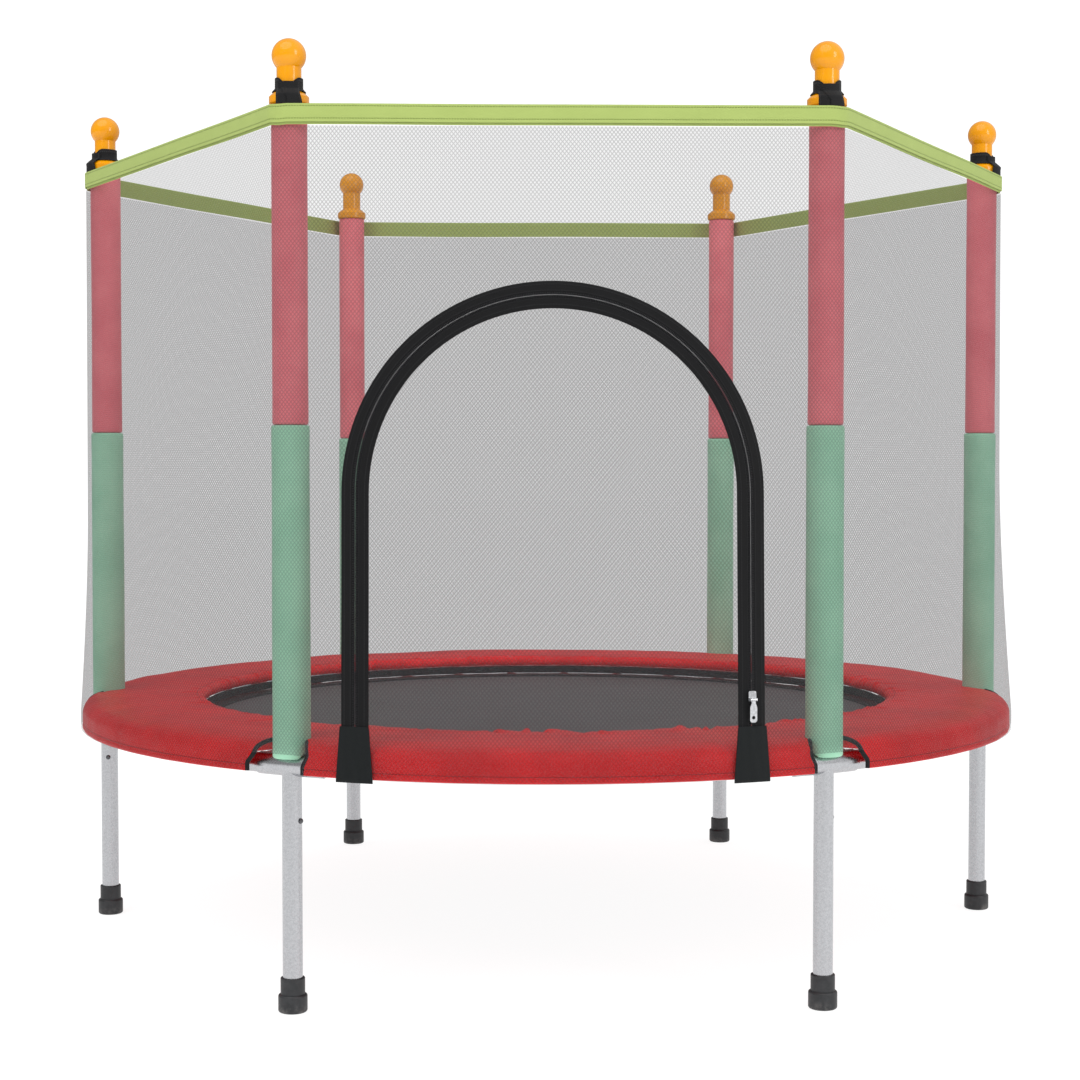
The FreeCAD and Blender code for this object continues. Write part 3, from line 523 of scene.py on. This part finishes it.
def net_hem(k):
    """Lowest strip of a panel, which ends at the openings in front of the leg sockets."""
    z = np.array([NET_BOTTOM_Z, NOTCH_KNEE, 0.323, NET_KNEE_Z])[:, None]
    near = [NOTCH_HALF + NOTCH_SHIFT[k], NOTCH_HALF - NOTCH_SHIFT[(k + 1) % 6]]
    first, last = [n + (slot_half(PAD_OUT) - n) * smooth(z, NOTCH_KNEE, NOTCH_TOP) for n in near]
    s0, s1 = 1 + (first - 0.0147) / 0.705, 2 - (last - 0.0147) / 0.705
    s = s0 + (s1 - s0) * np.linspace(0, 1, 48)[None, :]
    return net_grid(k, s, np.broadcast_to(z, s.shape))


def add_net_panels():
    for k in POSTS:
        if k == FRONT:
            continue
        rows = np.concatenate([[NET_KNEE_Z], np.linspace(0.345, 1.108, 44)])
        upper = net_grid(k, *np.meshgrid(COLUMNS, rows))
        panel = mesh_object(f"net_sheet_{k + 1}", *merge([net_hem(k), upper]), material=NET)
        stand_in(panel, "frame", f"net_panel_{k + 1}")


def arch_half(z, radius):
    """Half-width of the doorway outline of a radius at height z."""
    up = np.clip((np.asarray(z, float) - ARCH_Z) / radius, 0, 1)
    return radius * np.sqrt(1 - up * up)


def add_front_panel():
    radius = DOOR_R - 0.004
    angles = np.radians(np.linspace(0, 90, 25))
    rise = np.concatenate([np.linspace(FOLD_Z, ARCH_Z, 14)[:-1], ARCH_Z + radius * np.sin(angles)])
    parts = [net_hem(FRONT)]
    s, z = np.meshgrid(COLUMNS, [NET_KNEE_Z, 0.342, FOLD_Z])
    parts.append(net_grid(FRONT, s, z))
    s, z = np.meshgrid(COLUMNS, np.linspace(ARCH_Z + radius, 1.108, 14))
    parts.append(net_grid(FRONT, s, z))
    for side in (-1, 1):
        edge = front_s(DOOR_X + side * arch_half(rise, radius), rise)
        corner = np.linspace(0, 1, 6)[:-1] if side < 0 else np.linspace(3, 2, 6)[:-1]
        near = 1.0 if side < 0 else 2.0
        run = np.linspace(0, 1, 22)
        s = np.concatenate([np.broadcast_to(corner, (len(rise), 5)), near + (edge[:, None] - near) * run], 1)
        z = np.broadcast_to(rise[:, None], s.shape)
        if side > 0:
            s = s[:, ::-1]
        parts.append(net_grid(FRONT, s, z))
    panel = mesh_object("net_front_sheet", *merge(parts), material=NET)
    stand_in(panel, "frame", "net_front_panel")


def add_door_flap():
    radius = ZIP_R - TAPE_W + 0.004
    angles = np.radians(np.linspace(0, 89, 20))
    z = np.concatenate([np.linspace(FOLD_Z, ARCH_Z, 24)[:-1], ARCH_Z + radius * np.sin(angles)])
    x = DOOR_X + arch_half(z, radius)[:, None] * np.linspace(-1, 1, 41)[None, :]
    zz = np.broadcast_to(z[:, None], x.shape)
    s = front_s(x, zz)
    flap = mesh_object("door_flap_sheet", *net_grid(FRONT, s, zz), material=NET)
    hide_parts("door_flap")
    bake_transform(flap)


# -------- doorway: tapes, zip, tabs
def arch_stations(step):
    """Stations along the doorway, from lower left over the top. Each is a share of the radius across,
    a height on a leg or None on the arch, and a share of the radius up."""
    legs = np.linspace(FOLD_Z, ARCH_Z, int((ARCH_Z - FOLD_Z) / step))
    arc = np.radians(np.linspace(0, 180, int(math.pi * ZIP_R / step)))
    out = [(-1.0, z, 0.0) for z in legs[:-1]]
    out += [(-math.cos(a), None, math.sin(a)) for a in arc]
    out += [(1.0, z, 0.0) for z in legs[::-1][1:]]
    return out


def arch_points(stations, rho, off):
    """Points at distance rho from the doorway's middle line, off metres outside the net's face."""
    x = np.array([DOOR_X + c * rho for c, _, _ in stations])
    z = np.array([ARCH_Z + h * rho if level is None else level for _, level, h in stations])
    return front_point(x, z, off)


def tape_strip(stations, inner, outer):
    """Slightly domed strip on the net's face that follows the doorway between two radii."""
    low, high, puff = -0.0003, 0.0013, 0.0003
    outline = rounded(outer - inner, high - low, 0.0004, 2, 4)
    middle = (outer - inner) / 2
    rings = []
    for across, up in outline:
        crown = puff * (1 - ((across - middle) / middle) ** 2) if up > (high - low) / 2 else 0.0
        rings.append(arch_points(stations, inner + across, low + up + crown))
    rings = np.stack(rings, 1)
    mid = rings.mean(1)
    along = np.append(lengths_along(mid), 0)
    around = np.append(outline[:, 0], outline[0, 0])
    return loft(rings, along=along, around=around)


def zip_teeth(side):
    """Coil of the zip: one rounded loop of filament after another along the edge of a tape."""
    stations = arch_stations(0.0105)
    base = arch_points(stations, ZIP_R, 0.0010)
    lengths = lengths_along(base)
    count = int(lengths[-1] / TOOTH_PITCH) - 1
    where = (np.arange(count) + (0.5 if side > 0 else 0.0)) * TOOTH_PITCH + 0.0012
    shape = [(-0.0032, -0.0001), (-0.0026, 0.0006), (-0.0008, 0.0008), (0.0005, 0.0006), (0.0009, 0.0)]
    half = [0.0003, 0.00042, 0.00045, 0.00042, 0.00028]
    lines = {rho: arch_points(stations, ZIP_R + side * rho, 0.0013) for rho, _ in shape}
    teeth = []
    for d in where:
        rings = []
        for (rho, up), w in zip(shape, half):
            row = []
            for dd, lift in ((-w, 0.0), (0.0, w * 1.5), (w, 0.0), (0.0, -w)):
                p = [np.interp(d + dd, lengths, lines[rho][:, m]) for m in range(3)]
                p[1] -= up + lift
                row.append(p)
            rings.append(row)
        teeth.append(loft(np.array(rings)))
    return merge(teeth)


def add_doorway():
    stations = arch_stations(0.011)
    outer = mesh_object("door_tape_outer", *tape_strip(stations, ZIP_R + 0.0004, DOOR_R),
                        material=TAPE_WEB, sharp=50)
    inner = mesh_object("door_tape_inner", *tape_strip(stations, ZIP_R - TAPE_W, ZIP_R - 0.0006),
                        material=TAPE_WEB, sharp=50)
    teeth_out = mesh_object("zip_coil_outer", *zip_teeth(1), material=ZIP_COIL)
    teeth_in = mesh_object("zip_coil_inner", *zip_teeth(-1), material=ZIP_COIL)
    for piece, name in ((outer, "door_outer_tape"), (inner, "door_inner_tape")):
        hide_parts(name)
    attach(outer, "frame")
    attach(teeth_out, "frame")
    for piece in (inner, teeth_in):
        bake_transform(piece)


def add_tabs():
    """Flared fabric covers over the zip's two lower ends, hemmed round and bulging over the zip."""
    for side, label in ((-1, "left"), (1, "right")):
        cx = DOOR_X + side * ZIP_R
        z = np.concatenate([[0.301, 0.3016, 0.303], np.linspace(0.306, 0.365, 16), [0.3678, 0.3694, 0.370]])
        rim = np.sin(np.clip(np.minimum(z - 0.301, 0.370 - z) / 0.003, 0, 1) * math.pi / 2)
        outline = rounded(2.0, 1.0, 0.12, 3, 12)
        rings = []
        for a, b in outline:
            across = a - 1.0
            half = 0.023 - 0.005 * (z - 0.301) / 0.069
            hollow = 0.0009 * (1 - across * across) * (b > 0.5)
            hem = 0.0004 * np.exp(-((np.abs(across) - 0.84) / 0.06) ** 2) * (b > 0.5)
            fold = 0.0005 * np.sin(9 * across + 60 * z) * (1 - abs(across)) * (b > 0.5)
            off = 0.0016 + 0.001 + (b - 0.5) * 0.002 * rim + (hollow - hem + fold) * rim
            rings.append(front_point(cx + across * half, z, off))
        tab = mesh_object(f"zip_tab_{label}", *loft(np.stack(rings, 1)), material=TAB_WEB, sharp=60)
        stand_in(tab, "frame", "zip_tabs")


# -------- folded band round the top
def perimeter(off):
    """Points round the top of the net, off metres outside its inner face."""
    s = np.concatenate([np.linspace(start, start + 1, count)[:-1] for start, count in enumerate((6, 18, 6))])
    return np.concatenate([net_xy(k, s, NET_TOP_Z, off)[:, :2] for k in POSTS])


def add_band():
    """Tape folded over the net's top edge: outer leg, soft fold, longer inner leg."""
    section = []
    outer, inner = 0.0022, -0.0012
    fold_z, low_out, low_in = 1.1333, 1.1122, 1.1093
    for z in np.linspace(low_out, fold_z, 7):
        section.append((outer, z))
    for a in np.radians(np.linspace(0, 180, 9))[1:-1]:
        section.append(((outer + inner) / 2 + (outer - inner) / 2 * math.cos(a), fold_z + 0.0017 * math.sin(a)))
    for z in np.linspace(fold_z, low_in, 8):
        section.append((inner, z))
    thick = 0.0008
    back = [(o + (thick if o < 0 else -thick), z) for o, z in section if z <= fold_z + 1e-9][::-1]
    outline = section + back
    angle = np.linspace(0, 2 * math.pi, len(perimeter(0.0)), endpoint=False)
    sway = 0.0005 * waves(5, 6, 5, 24)(angle)
    rings = []
    for o, z in outline:
        xy = perimeter(o)
        rings.append(np.column_stack([xy, z + sway * (1.2 if z < 1.13 else 0.7)]))
    rings = np.stack(rings, 1)
    mid = rings.mean(1)
    along = np.concatenate([[0], np.cumsum(np.linalg.norm(np.roll(mid, -1, 0) - mid, axis=1))])
    around = lengths_along(np.array(outline + outline[:1]))
    band = mesh_object("top_band_cloth", *loft(rings, closed=True, along=along, around=around),
                       material=BAND_WEB, sharp=50)
    stand_in(band, "frame", "top_band")


# -------- straps round the finials
def finial_radius(z):
    return np.interp(z, [1.137, 1.1475, 1.1515, 1.1560, 1.20], [0.0254, 0.0254, 0.0216, 0.0161, 0.0159])


def add_straps():
    """Webbing round each finial's neck, its ends crossing in a shallow V and laid down over the collar."""
    for k, facing in STRAP_FACING.items():
        lean = 1 if facing in (210.0, 270.0) else -1
        turn_angle = np.linspace(-math.pi, math.pi, 97)[:-1]
        dip = 0.0085 * (1 - smooth(np.abs(turn_angle), 0.0, 0.95))
        rings = []
        for across, up in rounded(1.0, 0.0013, 0.0005, 2, 4):
            z = 1.1530 + across * (0.0168 - dip)
            r = finial_radius(z) + 0.0003 + up
            rings.append(polar(r, turn_angle, z))
        loop = np.stack(rings, 1)
        tails = []
        for layer, hand in ((0, -lean), (1, lean)):
            level = np.linspace(0.0, 1.0, 22)
            z = 1.1640 - level * 0.0286
            r = finial_radius(z) + 0.0016 + layer * 0.0012
            wide = 0.0142 + 0.0042 * smooth(level, 0.25, 1.0) * (hand == lean)
            narrow = 0.0142 - (0.0190 * level if layer else 0.004 * level)
            right = wide if hand > 0 else narrow
            left = narrow if hand > 0 else wide
            rows = []
            for across, up in rounded(2.0, 0.0013, 0.0005, 2, 12):
                y = np.where(across > 1, (across - 1) * right, (across - 1) * left)
                y = np.clip(y, -r * 0.94, r * 0.94)
                x = np.sqrt(r * r - y * y) + up
                rows.append(np.stack([x, y, z], -1))
            tails.append(np.stack(rows, 1))
        v, f, uv = merge([loft(turn(loop, facing), closed=True)] + [loft(turn(tail, facing)) for tail in tails])
        strap = mesh_object(f"finial_strap_{k + 1}", v + post_axis(k), f, uv, material=STRAP_WEB, sharp=50)
        stand_in(strap, "frame", "finial_straps")


# -------- foam sleeves
def add_foam():
    for k in POSTS:
        for name, radius, z0, z1, material, node_name in (
                ("foam_low", 0.024, 0.3283, 0.7398, GREEN_FOAM, "lower_foam"),
                ("foam_high", 0.0225, 0.7402, 1.1368, RED_FOAM, "upper_foam")):
            ends = [(0.0132, 0.012), (0.0132, 0.0), (radius - 0.003, 0.0), (radius - 0.0012, 0.0005),
                    (radius - 0.0003, 0.0016), (radius, 0.0035)]
            profile = [(r, z0 + d) for r, d in ends]
            profile += [(radius, z) for z in np.linspace(z0 + 0.014, z1 - 0.014, 34)]
            profile += [(r, z1 - d) for r, d in reversed(ends)]
            wobble = waves(100 + k + (10 if radius > 0.023 else 0), 5, 2, 6)
            ring_angle = np.linspace(0, 2 * math.pi, 56, endpoint=False)
            rings = []
            for r, z in profile:
                free = smooth(z, z0 + 0.002, z0 + 0.05) * smooth(z, z1 - 0.002, z1 - 0.05)
                radii = r + (0.00022 * wobble(ring_angle + 5 * z) - 0.00015) * free * (r > 0.02)
                off_ring = np.abs(r * np.cos(ring_angle - math.radians(60 * k)))
                dip = SADDLE * smooth(off_ring, 0.004, 0.0135) * (z < 0.332)  # its lower end only
                rings.append(polar(radii, ring_angle, z - dip) + post_axis(k))
            sleeve = mesh_object(f"{name}_{k + 1}", *loft(np.array(rings)), material=material, sharp=60)
            stand_in(sleeve, "frame", node_name)


# -------- frame pad
PAD_PROFILE = [  # (radius, height), from the inner edge's underside over the top to the skirt's hem
    (0.526, 0.3308), (0.5222, 0.3316), (0.5204, 0.3345), (0.5202, 0.3385), (0.5212, 0.3425), (0.5240, 0.3455),
    (0.5280, 0.3470), (0.5330, 0.3477), (0.5400, 0.3480), (0.5480, 0.3481), (0.5570, 0.3481), (0.5670, 0.3481),
    (0.5780, 0.3482), (0.5900, 0.3482), (0.6030, 0.3482), (0.6160, 0.3482), (0.6290, 0.3481), (0.6420, 0.3480),
    (0.6540, 0.3476), (0.6650, 0.3468), (0.6750, 0.3456), (0.6830, 0.3441), (0.6895, 0.3418), (0.6945, 0.3385),
    (0.6978, 0.3340), (0.6992, 0.3290), (0.6994, 0.3235), (0.6994, 0.3180), (0.6994, 0.3135), (0.6991, 0.3120),
    (0.6997, 0.3105), (0.6999, 0.3080), (0.6997, 0.3058), (0.6990, 0.3051), (0.6980, 0.3056), (0.6977, 0.3080),
    (0.6976, 0.3180), (0.6970, 0.3245), (0.6930, 0.3290), (0.6850, 0.3308), (0.6500, 0.3308), (0.6000, 0.3308),
    (0.5600, 0.3308),
]


def fold_lines():
    """Creases of the gathered cover: (angle, slant, length, width, height) each."""
    rng = np.random.default_rng(11)
    folds = []
    for _ in range(150):
        angle = rng.uniform(0, 2 * math.pi)
        front = math.exp(-((math.degrees(angle) - 270) / 34) ** 2)
        slant = rng.normal(0, 0.28 + 0.5 * front)
        length = rng.uniform(0.018, 0.05) * (1 + 0.9 * front)
        width = rng.uniform(0.0022, 0.0046) * (1 + 0.35 * front)
        height = rng.choice([-1, 1]) * rng.uniform(0.0008, 0.0024) * (1 + 1.3 * front)
        folds.append((angle, slant, length, width, height))
    for _ in range(26):  # longer drag lines on the two sides
        angle = rng.choice([math.radians(200), math.radians(-20)]) + rng.normal(0, 0.42)
        folds.append((angle, rng.normal(0, 0.9), rng.uniform(0.06, 0.12), rng.uniform(0.003, 0.006),
                      rng.choice([-1, 1]) * rng.uniform(0.0006, 0.0016)))
    return folds


def pad_lift(theta, radius):
    """Height of the cover's creases and slow swells above its smooth profile."""
    lift = np.zeros(np.broadcast(theta, radius).shape)
    for angle, slant, length, width, height in fold_lines():
        t = ((theta - angle + math.pi) % (2 * math.pi) - math.pi) * 0.55
        near = np.abs(t) < length + 4 * width
        q = radius - PAD_IN
        along = q * math.cos(slant) + t * math.sin(slant)
        perp = -q * math.sin(slant) + t * math.cos(slant)
        shape = np.exp(-(perp / width) ** 2) - 0.35 * np.exp(-((perp - 1.7 * width) / width) ** 2)
        lift += near * height * shape * (1 - smooth(along, 0.25 * length, length)) * smooth(along, -0.012, 0.0)
    slow, cross = waves(21, 7, 5, 22), waves(22, 6, 9, 40)
    swell = 0.0008 * slow(theta) + 0.0006 * cross(theta + 9 * radius)
    return lift + swell


def cutter(name, build):
    """Object of the six prisms that a function makes, to cut the pad with."""
    verts, faces, _ = merge([build(k) + (np.zeros((0, 2)),) for k in POSTS])
    return mesh_object(name, verts, faces)


def prism(outline, axis, low, high):
    """Closed prism over a counter-clockwise outline: along Z, or along X with outline (y, z)."""
    n = len(outline)
    rows = []
    for level in (low, high):
        for a, b in outline:
            rows.append((a, b, level) if axis == "z" else (level, a, b))
    faces = [[i, (i + 1) % n, n + (i + 1) % n, n + i] for i in range(n)]
    faces += [list(range(n))[::-1], [n + i for i in range(n)]]
    return np.array(rows, float), faces


def slot_prism(k):
    a = np.radians(np.linspace(90, 270, 33))
    outline = [(POST_R + SLOT_R * math.cos(t), SLOT_R * math.sin(t)) for t in a]
    outline += [(0.74, -slot_half(0.74)), (0.74, slot_half(0.74))]
    v, f = prism(outline, "z", NOTCH_TOP - 0.0004, 0.37)
    return turn(v, 60 * k), f


def notch_prism(k):
    right, left, mouth = NOTCH_SHIFT[k] + NOTCH_HALF, NOTCH_SHIFT[k] - NOTCH_HALF, slot_half(PAD_OUT)
    outline = [(right, 0.29), (right, NOTCH_KNEE), (mouth, NOTCH_TOP), (-mouth, NOTCH_TOP), (left, NOTCH_KNEE),
               (left, 0.29)]
    v, f = prism(outline, "x", 0.679, 0.74)
    return turn(v, 60 * k), f


def add_pad():
    count = 900
    theta = np.linspace(0, 2 * math.pi, count, endpoint=False)
    profile = np.array(PAD_PROFILE)
    before, after = np.roll(profile, 1, 0), np.roll(profile, -1, 0)
    tangent = after - before
    tangent /= np.linalg.norm(tangent, axis=1)[:, None]
    normal = np.stack([-tangent[:, 1], tangent[:, 0]], 1)
    gather, tuck = waves(31, 9, 18, 70), waves(33, 9, 24, 90)
    front = np.exp(-(((np.degrees(theta) - 270 + 180) % 360 - 180) / 40) ** 2)
    rings = []
    for (r, z), n in zip(profile, normal):
        top = smooth(z, 0.3335, 0.3440) * smooth(r, 0.699, 0.690)
        lift = pad_lift(theta, np.full(count, r)) * top
        edge = math.exp(-((r - PAD_IN) / 0.008) ** 2)
        skirt = smooth(r, 0.690, 0.6975) * smooth(z, 0.341, 0.334)
        dr = edge * (0.0010 + 0.0026 * front) * gather(theta) - skirt * 0.0004 * (1 + tuck(theta * 0.999))
        dz = edge * (0.0007 + 0.0020 * front) * tuck(theta)
        rr = r + n[0] * lift + dr
        zz = z + n[1] * lift + dz * (z > 0.332)
        rings.append(polar(rr, theta, zz))
    rings = np.stack(rings, 1)[:, ::-1]
    pad = mesh_object("frame_pad_cover", *loft(rings, closed=True), material=VINYL)
    for label, build in (("slots", slot_prism), ("notches", notch_prism)):
        tool = cutter(f"cut_{label}", build)
        mod = pad.modifiers.new(label, "BOOLEAN")
        mod.operation, mod.solver, mod.object = "DIFFERENCE", "EXACT", tool
        bpy.context.view_layer.update()
        made = bpy.data.meshes.new_from_object(pad.evaluated_get(bpy.context.evaluated_depsgraph_get()))
        pad.modifiers.clear()
        old, pad.data = pad.data, made
        bpy.data.meshes.remove(old)
        bpy.data.objects.remove(tool)
    pad.data.materials.clear()
    pad.data.materials.append(VINYL)
    pad.data.shade_smooth()
    pad.data.set_sharp_from_angle(angle=math.radians(45))
    stand_in(pad, "frame", "frame_pad")


def add_bindings():
    """Rolled bias tape down both sides of each slot and skirt opening, and round the pad's inner edge."""
    for k in POSTS:
        parts = []
        for hand in (-1, 1):
            low = hand * NOTCH_SHIFT[k] + NOTCH_HALF - 0.0012
            marks = [(r, slot_half(r) - 0.0010, z) for r, z in (
                (0.6765, 0.3437), (0.6830, 0.3423), (0.6890, 0.3397), (0.6935, 0.3365), (0.6962, 0.3325))]
            marks += [(0.6974, slot_half(0.6974) - 0.0010, 0.3285), (0.6978, low, NOTCH_KNEE),
                      (0.6978, low, 0.3056)]
            marks = np.array(marks)
            along = lengths_along(marks)
            fine = np.linspace(0, along[-1], 60)
            path = np.stack([np.interp(fine, along, marks[:, m]) for m in range(3)], -1)
            for _ in range(6):
                path[1:-1] = (path[:-2] + 2 * path[1:-1] + path[2:]) / 4
            y = hand * path[:, 1]
            path = np.stack([np.sqrt(path[:, 0] ** 2 - y * y), y, path[:, 2]], -1)
            v, f, uv = wire(path, 0.0029, 12)
            parts.append((turn(v, 60 * k), f, uv))
        piece = mesh_object(f"pad_binding_{k + 1}", *merge(parts), material=BINDING_WEB, sharp=60)
        stand_in(piece, "frame", "pad_bindings")

    count = 360
    theta = np.linspace(0, 2 * math.pi, count, endpoint=False)
    sway, tuck = waves(71, 7, 9, 40), waves(72, 7, 12, 60)
    rings = []
    for across, up in rounded(0.0024, 0.0122, 0.0010, 3, 1):
        rr = 0.5213 + across + 0.0003 * sway(theta) * (1 - up / 0.0122)
        z = 0.3180 + up + 0.0003 * tuck(theta) * (1 - up / 0.0122)
        rings.append(polar(rr, theta, z))
    rings = np.stack(rings, 1)[:, ::-1]
    piece = mesh_object("pad_inner_binding", *loft(rings, closed=True, along=np.linspace(0, 3.28, count + 1)),
                        material=BINDING_WEB, sharp=50)
    stand_in(piece, "frame", "pad_bindings")


# -------- mat, its border and the springs
def add_mat():
    radii = np.concatenate([[0.0005], np.linspace(0.02, 0.52, 34), [MAT_R]])
    theta = np.linspace(0, 2 * math.pi, 181)
    r, t = np.meshgrid(radii, theta, indexing="ij")
    ripple = waves(61, 6, 3, 11)
    z = RING_Z + 0.0004 * ripple(t + 4 * r) * smooth(r, 0.05, 0.3) * smooth(r, MAT_R, 0.46)
    points = polar(r, t, z)
    bed = mesh_object("jumping_mat_cloth", *grid(points, points[..., :2]), material=MAT_CLOTH)
    stand_in(bed, "mat", "jumping_mat")

    outline = rounded(BORDER_W, 0.0050, 0.0022, 4, 8)
    count = 288
    theta = np.linspace(0, 2 * math.pi, count, endpoint=False)
    pull = np.maximum(0, np.cos(36 * theta - math.pi)) ** 6  # drawn out a little at each V-ring
    rings = []
    for across, up in outline:
        rr = BORDER_R + across + 0.0012 * pull * smooth(across, 0.02, BORDER_W)
        dip = 0.0006 * sum(np.exp(-((across - line) / 0.002) ** 2) for line in (0.012, 0.030))
        z = RING_Z + (up - 0.0025) * (1 - dip / 0.0025) + 0.0002 * np.sin(72 * theta)
        rings.append(polar(rr, theta, z))
    rings = np.stack(rings, 1)[:, ::-1]
    across_v = outline[::-1, 0]
    border = mesh_object("mat_border_webbing", *loft(rings, closed=True, along=np.linspace(0, 3.27, count + 1),
                                                     around=np.append(across_v, across_v[0])),
                         material=BORDER_WEB, sharp=50)
    stand_in(border, "mat", "mat_border")


def wire(path, radius, sides=8):
    """Round wire along points, its section carried along without twisting."""
    path = np.asarray(path, float)
    d = np.gradient(path, axis=0)
    d /= np.linalg.norm(d, axis=1)[:, None]
    ref = np.cross(d[0], (0.0, 0.31, 0.95))
    ref /= np.linalg.norm(ref)
    angles = np.linspace(0, 2 * math.pi, sides, endpoint=False)
    rings = []
    for p, t in zip(path, d):
        ref = ref - t * (ref @ t)
        ref /= np.linalg.norm(ref)
        other = np.cross(t, ref)
        rings.append([p + radius * (math.cos(a) * ref + math.sin(a) * other) for a in angles])
    return loft(np.array(rings))


def spring_path():
    """Centre line of one spring along +X: hook on the V-ring, close coil, hook in the ring tube."""
    axis_z = RING_Z + 0.0036
    coil_r, x0, x1 = 0.0062, 0.5695, 0.6465
    turns = int((x1 - x0) / 0.00272)
    hook = [(0.5540 + 0.0036 * math.cos(a), 0.0, RING_Z + 0.0036 * math.sin(a))
            for a in np.radians(np.linspace(300, 90, 15))]
    neck = [(x, 0.0, axis_z) for x in (0.5575, 0.5605, 0.5635)]
    lead = [(0.5655 + 0.004 * t, 0.004 * math.sin(math.pi * t) * 0.4, axis_z + coil_r * t ** 1.5)
            for t in (0.15, 0.4, 0.7, 0.9)]
    coil = []
    for n in range(turns * 14 + 1):
        a = 2 * math.pi * n / 14
        coil.append((x0 + (x1 - x0) * n / (turns * 14), coil_r * math.sin(a), axis_z + coil_r * math.cos(a)))
    tail = [(0.6475 + 0.005 * t, 0.0, axis_z + coil_r * (1 - t) ** 1.5) for t in (0.2, 0.5, 0.8)]
    reach = [(x, 0.0, axis_z) for x in (0.6535, 0.6565, 0.6600)]
    bend = [(0.6635 + 0.0040 * math.sin(a), 0.0, axis_z - 0.0040 + 0.0040 * math.cos(a))
            for a in np.radians(np.linspace(0, 90, 7))]
    return hook + neck + lead + coil + tail + reach + bend + [(0.6675, 0.0, axis_z - 0.0068)]


def add_springs():
    v, f, uv = wire(spring_path(), 0.0013, 7)
    for n, angle in enumerate(SPRING_ANGLES):
        piece = mesh_object(f"spring_{n + 1:02d}", turn(v, angle), f, uv, material=SPRING_STEEL)
        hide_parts("tension_springs")
        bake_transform(piece)


def coil_plastic():
    mat, tree, shader = start_material("zip_coil", Roughness=0.32, Specular_IOR_Level=0.5)
    tone = mix_colour(tree, noise(tree, place(tree), 200.0), rgb(18, 18, 20), rgb(46, 46, 50))
    tree.links.new(tone, shader.inputs["Base Color"])
    return mat


ZIP_COIL = coil_plastic()

add_net_panels()
add_front_panel()
add_door_flap()
add_doorway()
add_tabs()
add_band()
add_straps()
add_foam()
add_pad()
add_bindings()
add_mat()
add_springs()


# -------- floor, light and camera
def add_studio():
    mat, tree, shader = start_material("studio_floor", Roughness=0.9, Specular_IOR_Level=0.1,
                                       Emission_Color=(1, 1, 1, 1), Emission_Strength=0.90)
    soft = noise(tree, place(tree), 1.5, 2.0)
    tone = mix_colour(tree, soft, (0.22, 0.22, 0.22, 1), (0.23, 0.23, 0.23, 1))
    tree.links.new(tone, shader.inputs["Base Color"])
    angles = np.linspace(0, 2 * math.pi, 97)[:-1]
    rim = [(40 * math.cos(a), 40 * math.sin(a), -0.0005) for a in angles]
    floor = mesh_object("studio_floor", rim, [list(range(96))], material=mat)

    world = bpy.data.worlds.new("studio")
    bpy.context.scene.world = world
    world.use_nodes = True
    tree = world.node_tree
    back = tree.nodes["Background"]
    out = tree.nodes["World Output"]
    side, _, height = split(tree, node(tree, "ShaderNodeTexCoord").outputs["Generated"])
    glow = calc(tree, "MULTIPLY", step_map(tree, height, -0.1, 0.9, 0.50, 0.74),
                step_map(tree, side, -0.35, 0.8, 0.62, 1.35))
    back.inputs["Color"].default_value = (1, 1, 1, 1)
    tree.links.new(glow, back.inputs["Strength"])
    white = node(tree, "ShaderNodeBackground", {"Color": (1, 1, 1, 1), "Strength": 1.14})
    seen = node(tree, "ShaderNodeLightPath").outputs["Is Camera Ray"]
    both = node(tree, "ShaderNodeMixShader", {0: seen, 1: back.outputs[0], 2: white.outputs[0]})
    tree.links.new(both.outputs[0], out.inputs["Surface"])

    def lamp(kind, name, energy, location, target=(0, 0, 0.6), **settings):
        data = bpy.data.lights.new(name, kind)
        data.energy = energy
        for key, value in settings.items():
            setattr(data, key, value)
        obj = bpy.data.objects.new(name, data)
        bpy.context.scene.collection.objects.link(obj)
        obj.location = location
        way = np.array(target, float) - np.array(location, float)
        yaw = math.atan2(way[1], way[0]) - math.pi / 2
        pitch = math.atan2(way[2], math.hypot(way[0], way[1]))
        obj.rotation_euler = (math.pi / 2 + pitch, 0, yaw)
        return obj

    lamp("SUN", "high_sun", 1.15, (-1.2, -2.0, 5.0), angle=math.radians(60))
    key = lamp("AREA", "key_softbox", 48, (-2.4, -3.4, 2.6), shape="RECTANGLE", size=1.6, size_y=2.2)
    key.visible_glossy = False
    lamp("AREA", "fill_softbox", 34, (2.8, -3.0, 2.2), shape="RECTANGLE", size=1.0, size_y=2.2)


add_studio()
camera_data = bpy.data.cameras.new("camera")
camera_data.lens, camera_data.sensor_width = 68.13, 36.0
camera = bpy.data.objects.new("camera", camera_data)
bpy.context.scene.collection.objects.link(camera)
camera.location = (-0.0881, -3.15, 0.6863)
camera.rotation_euler = (math.radians(90 - 2.017), 0, math.radians(-1.437))
bpy.context.scene.camera = camera
bpy.context.scene.view_settings.view_transform = "Standard"
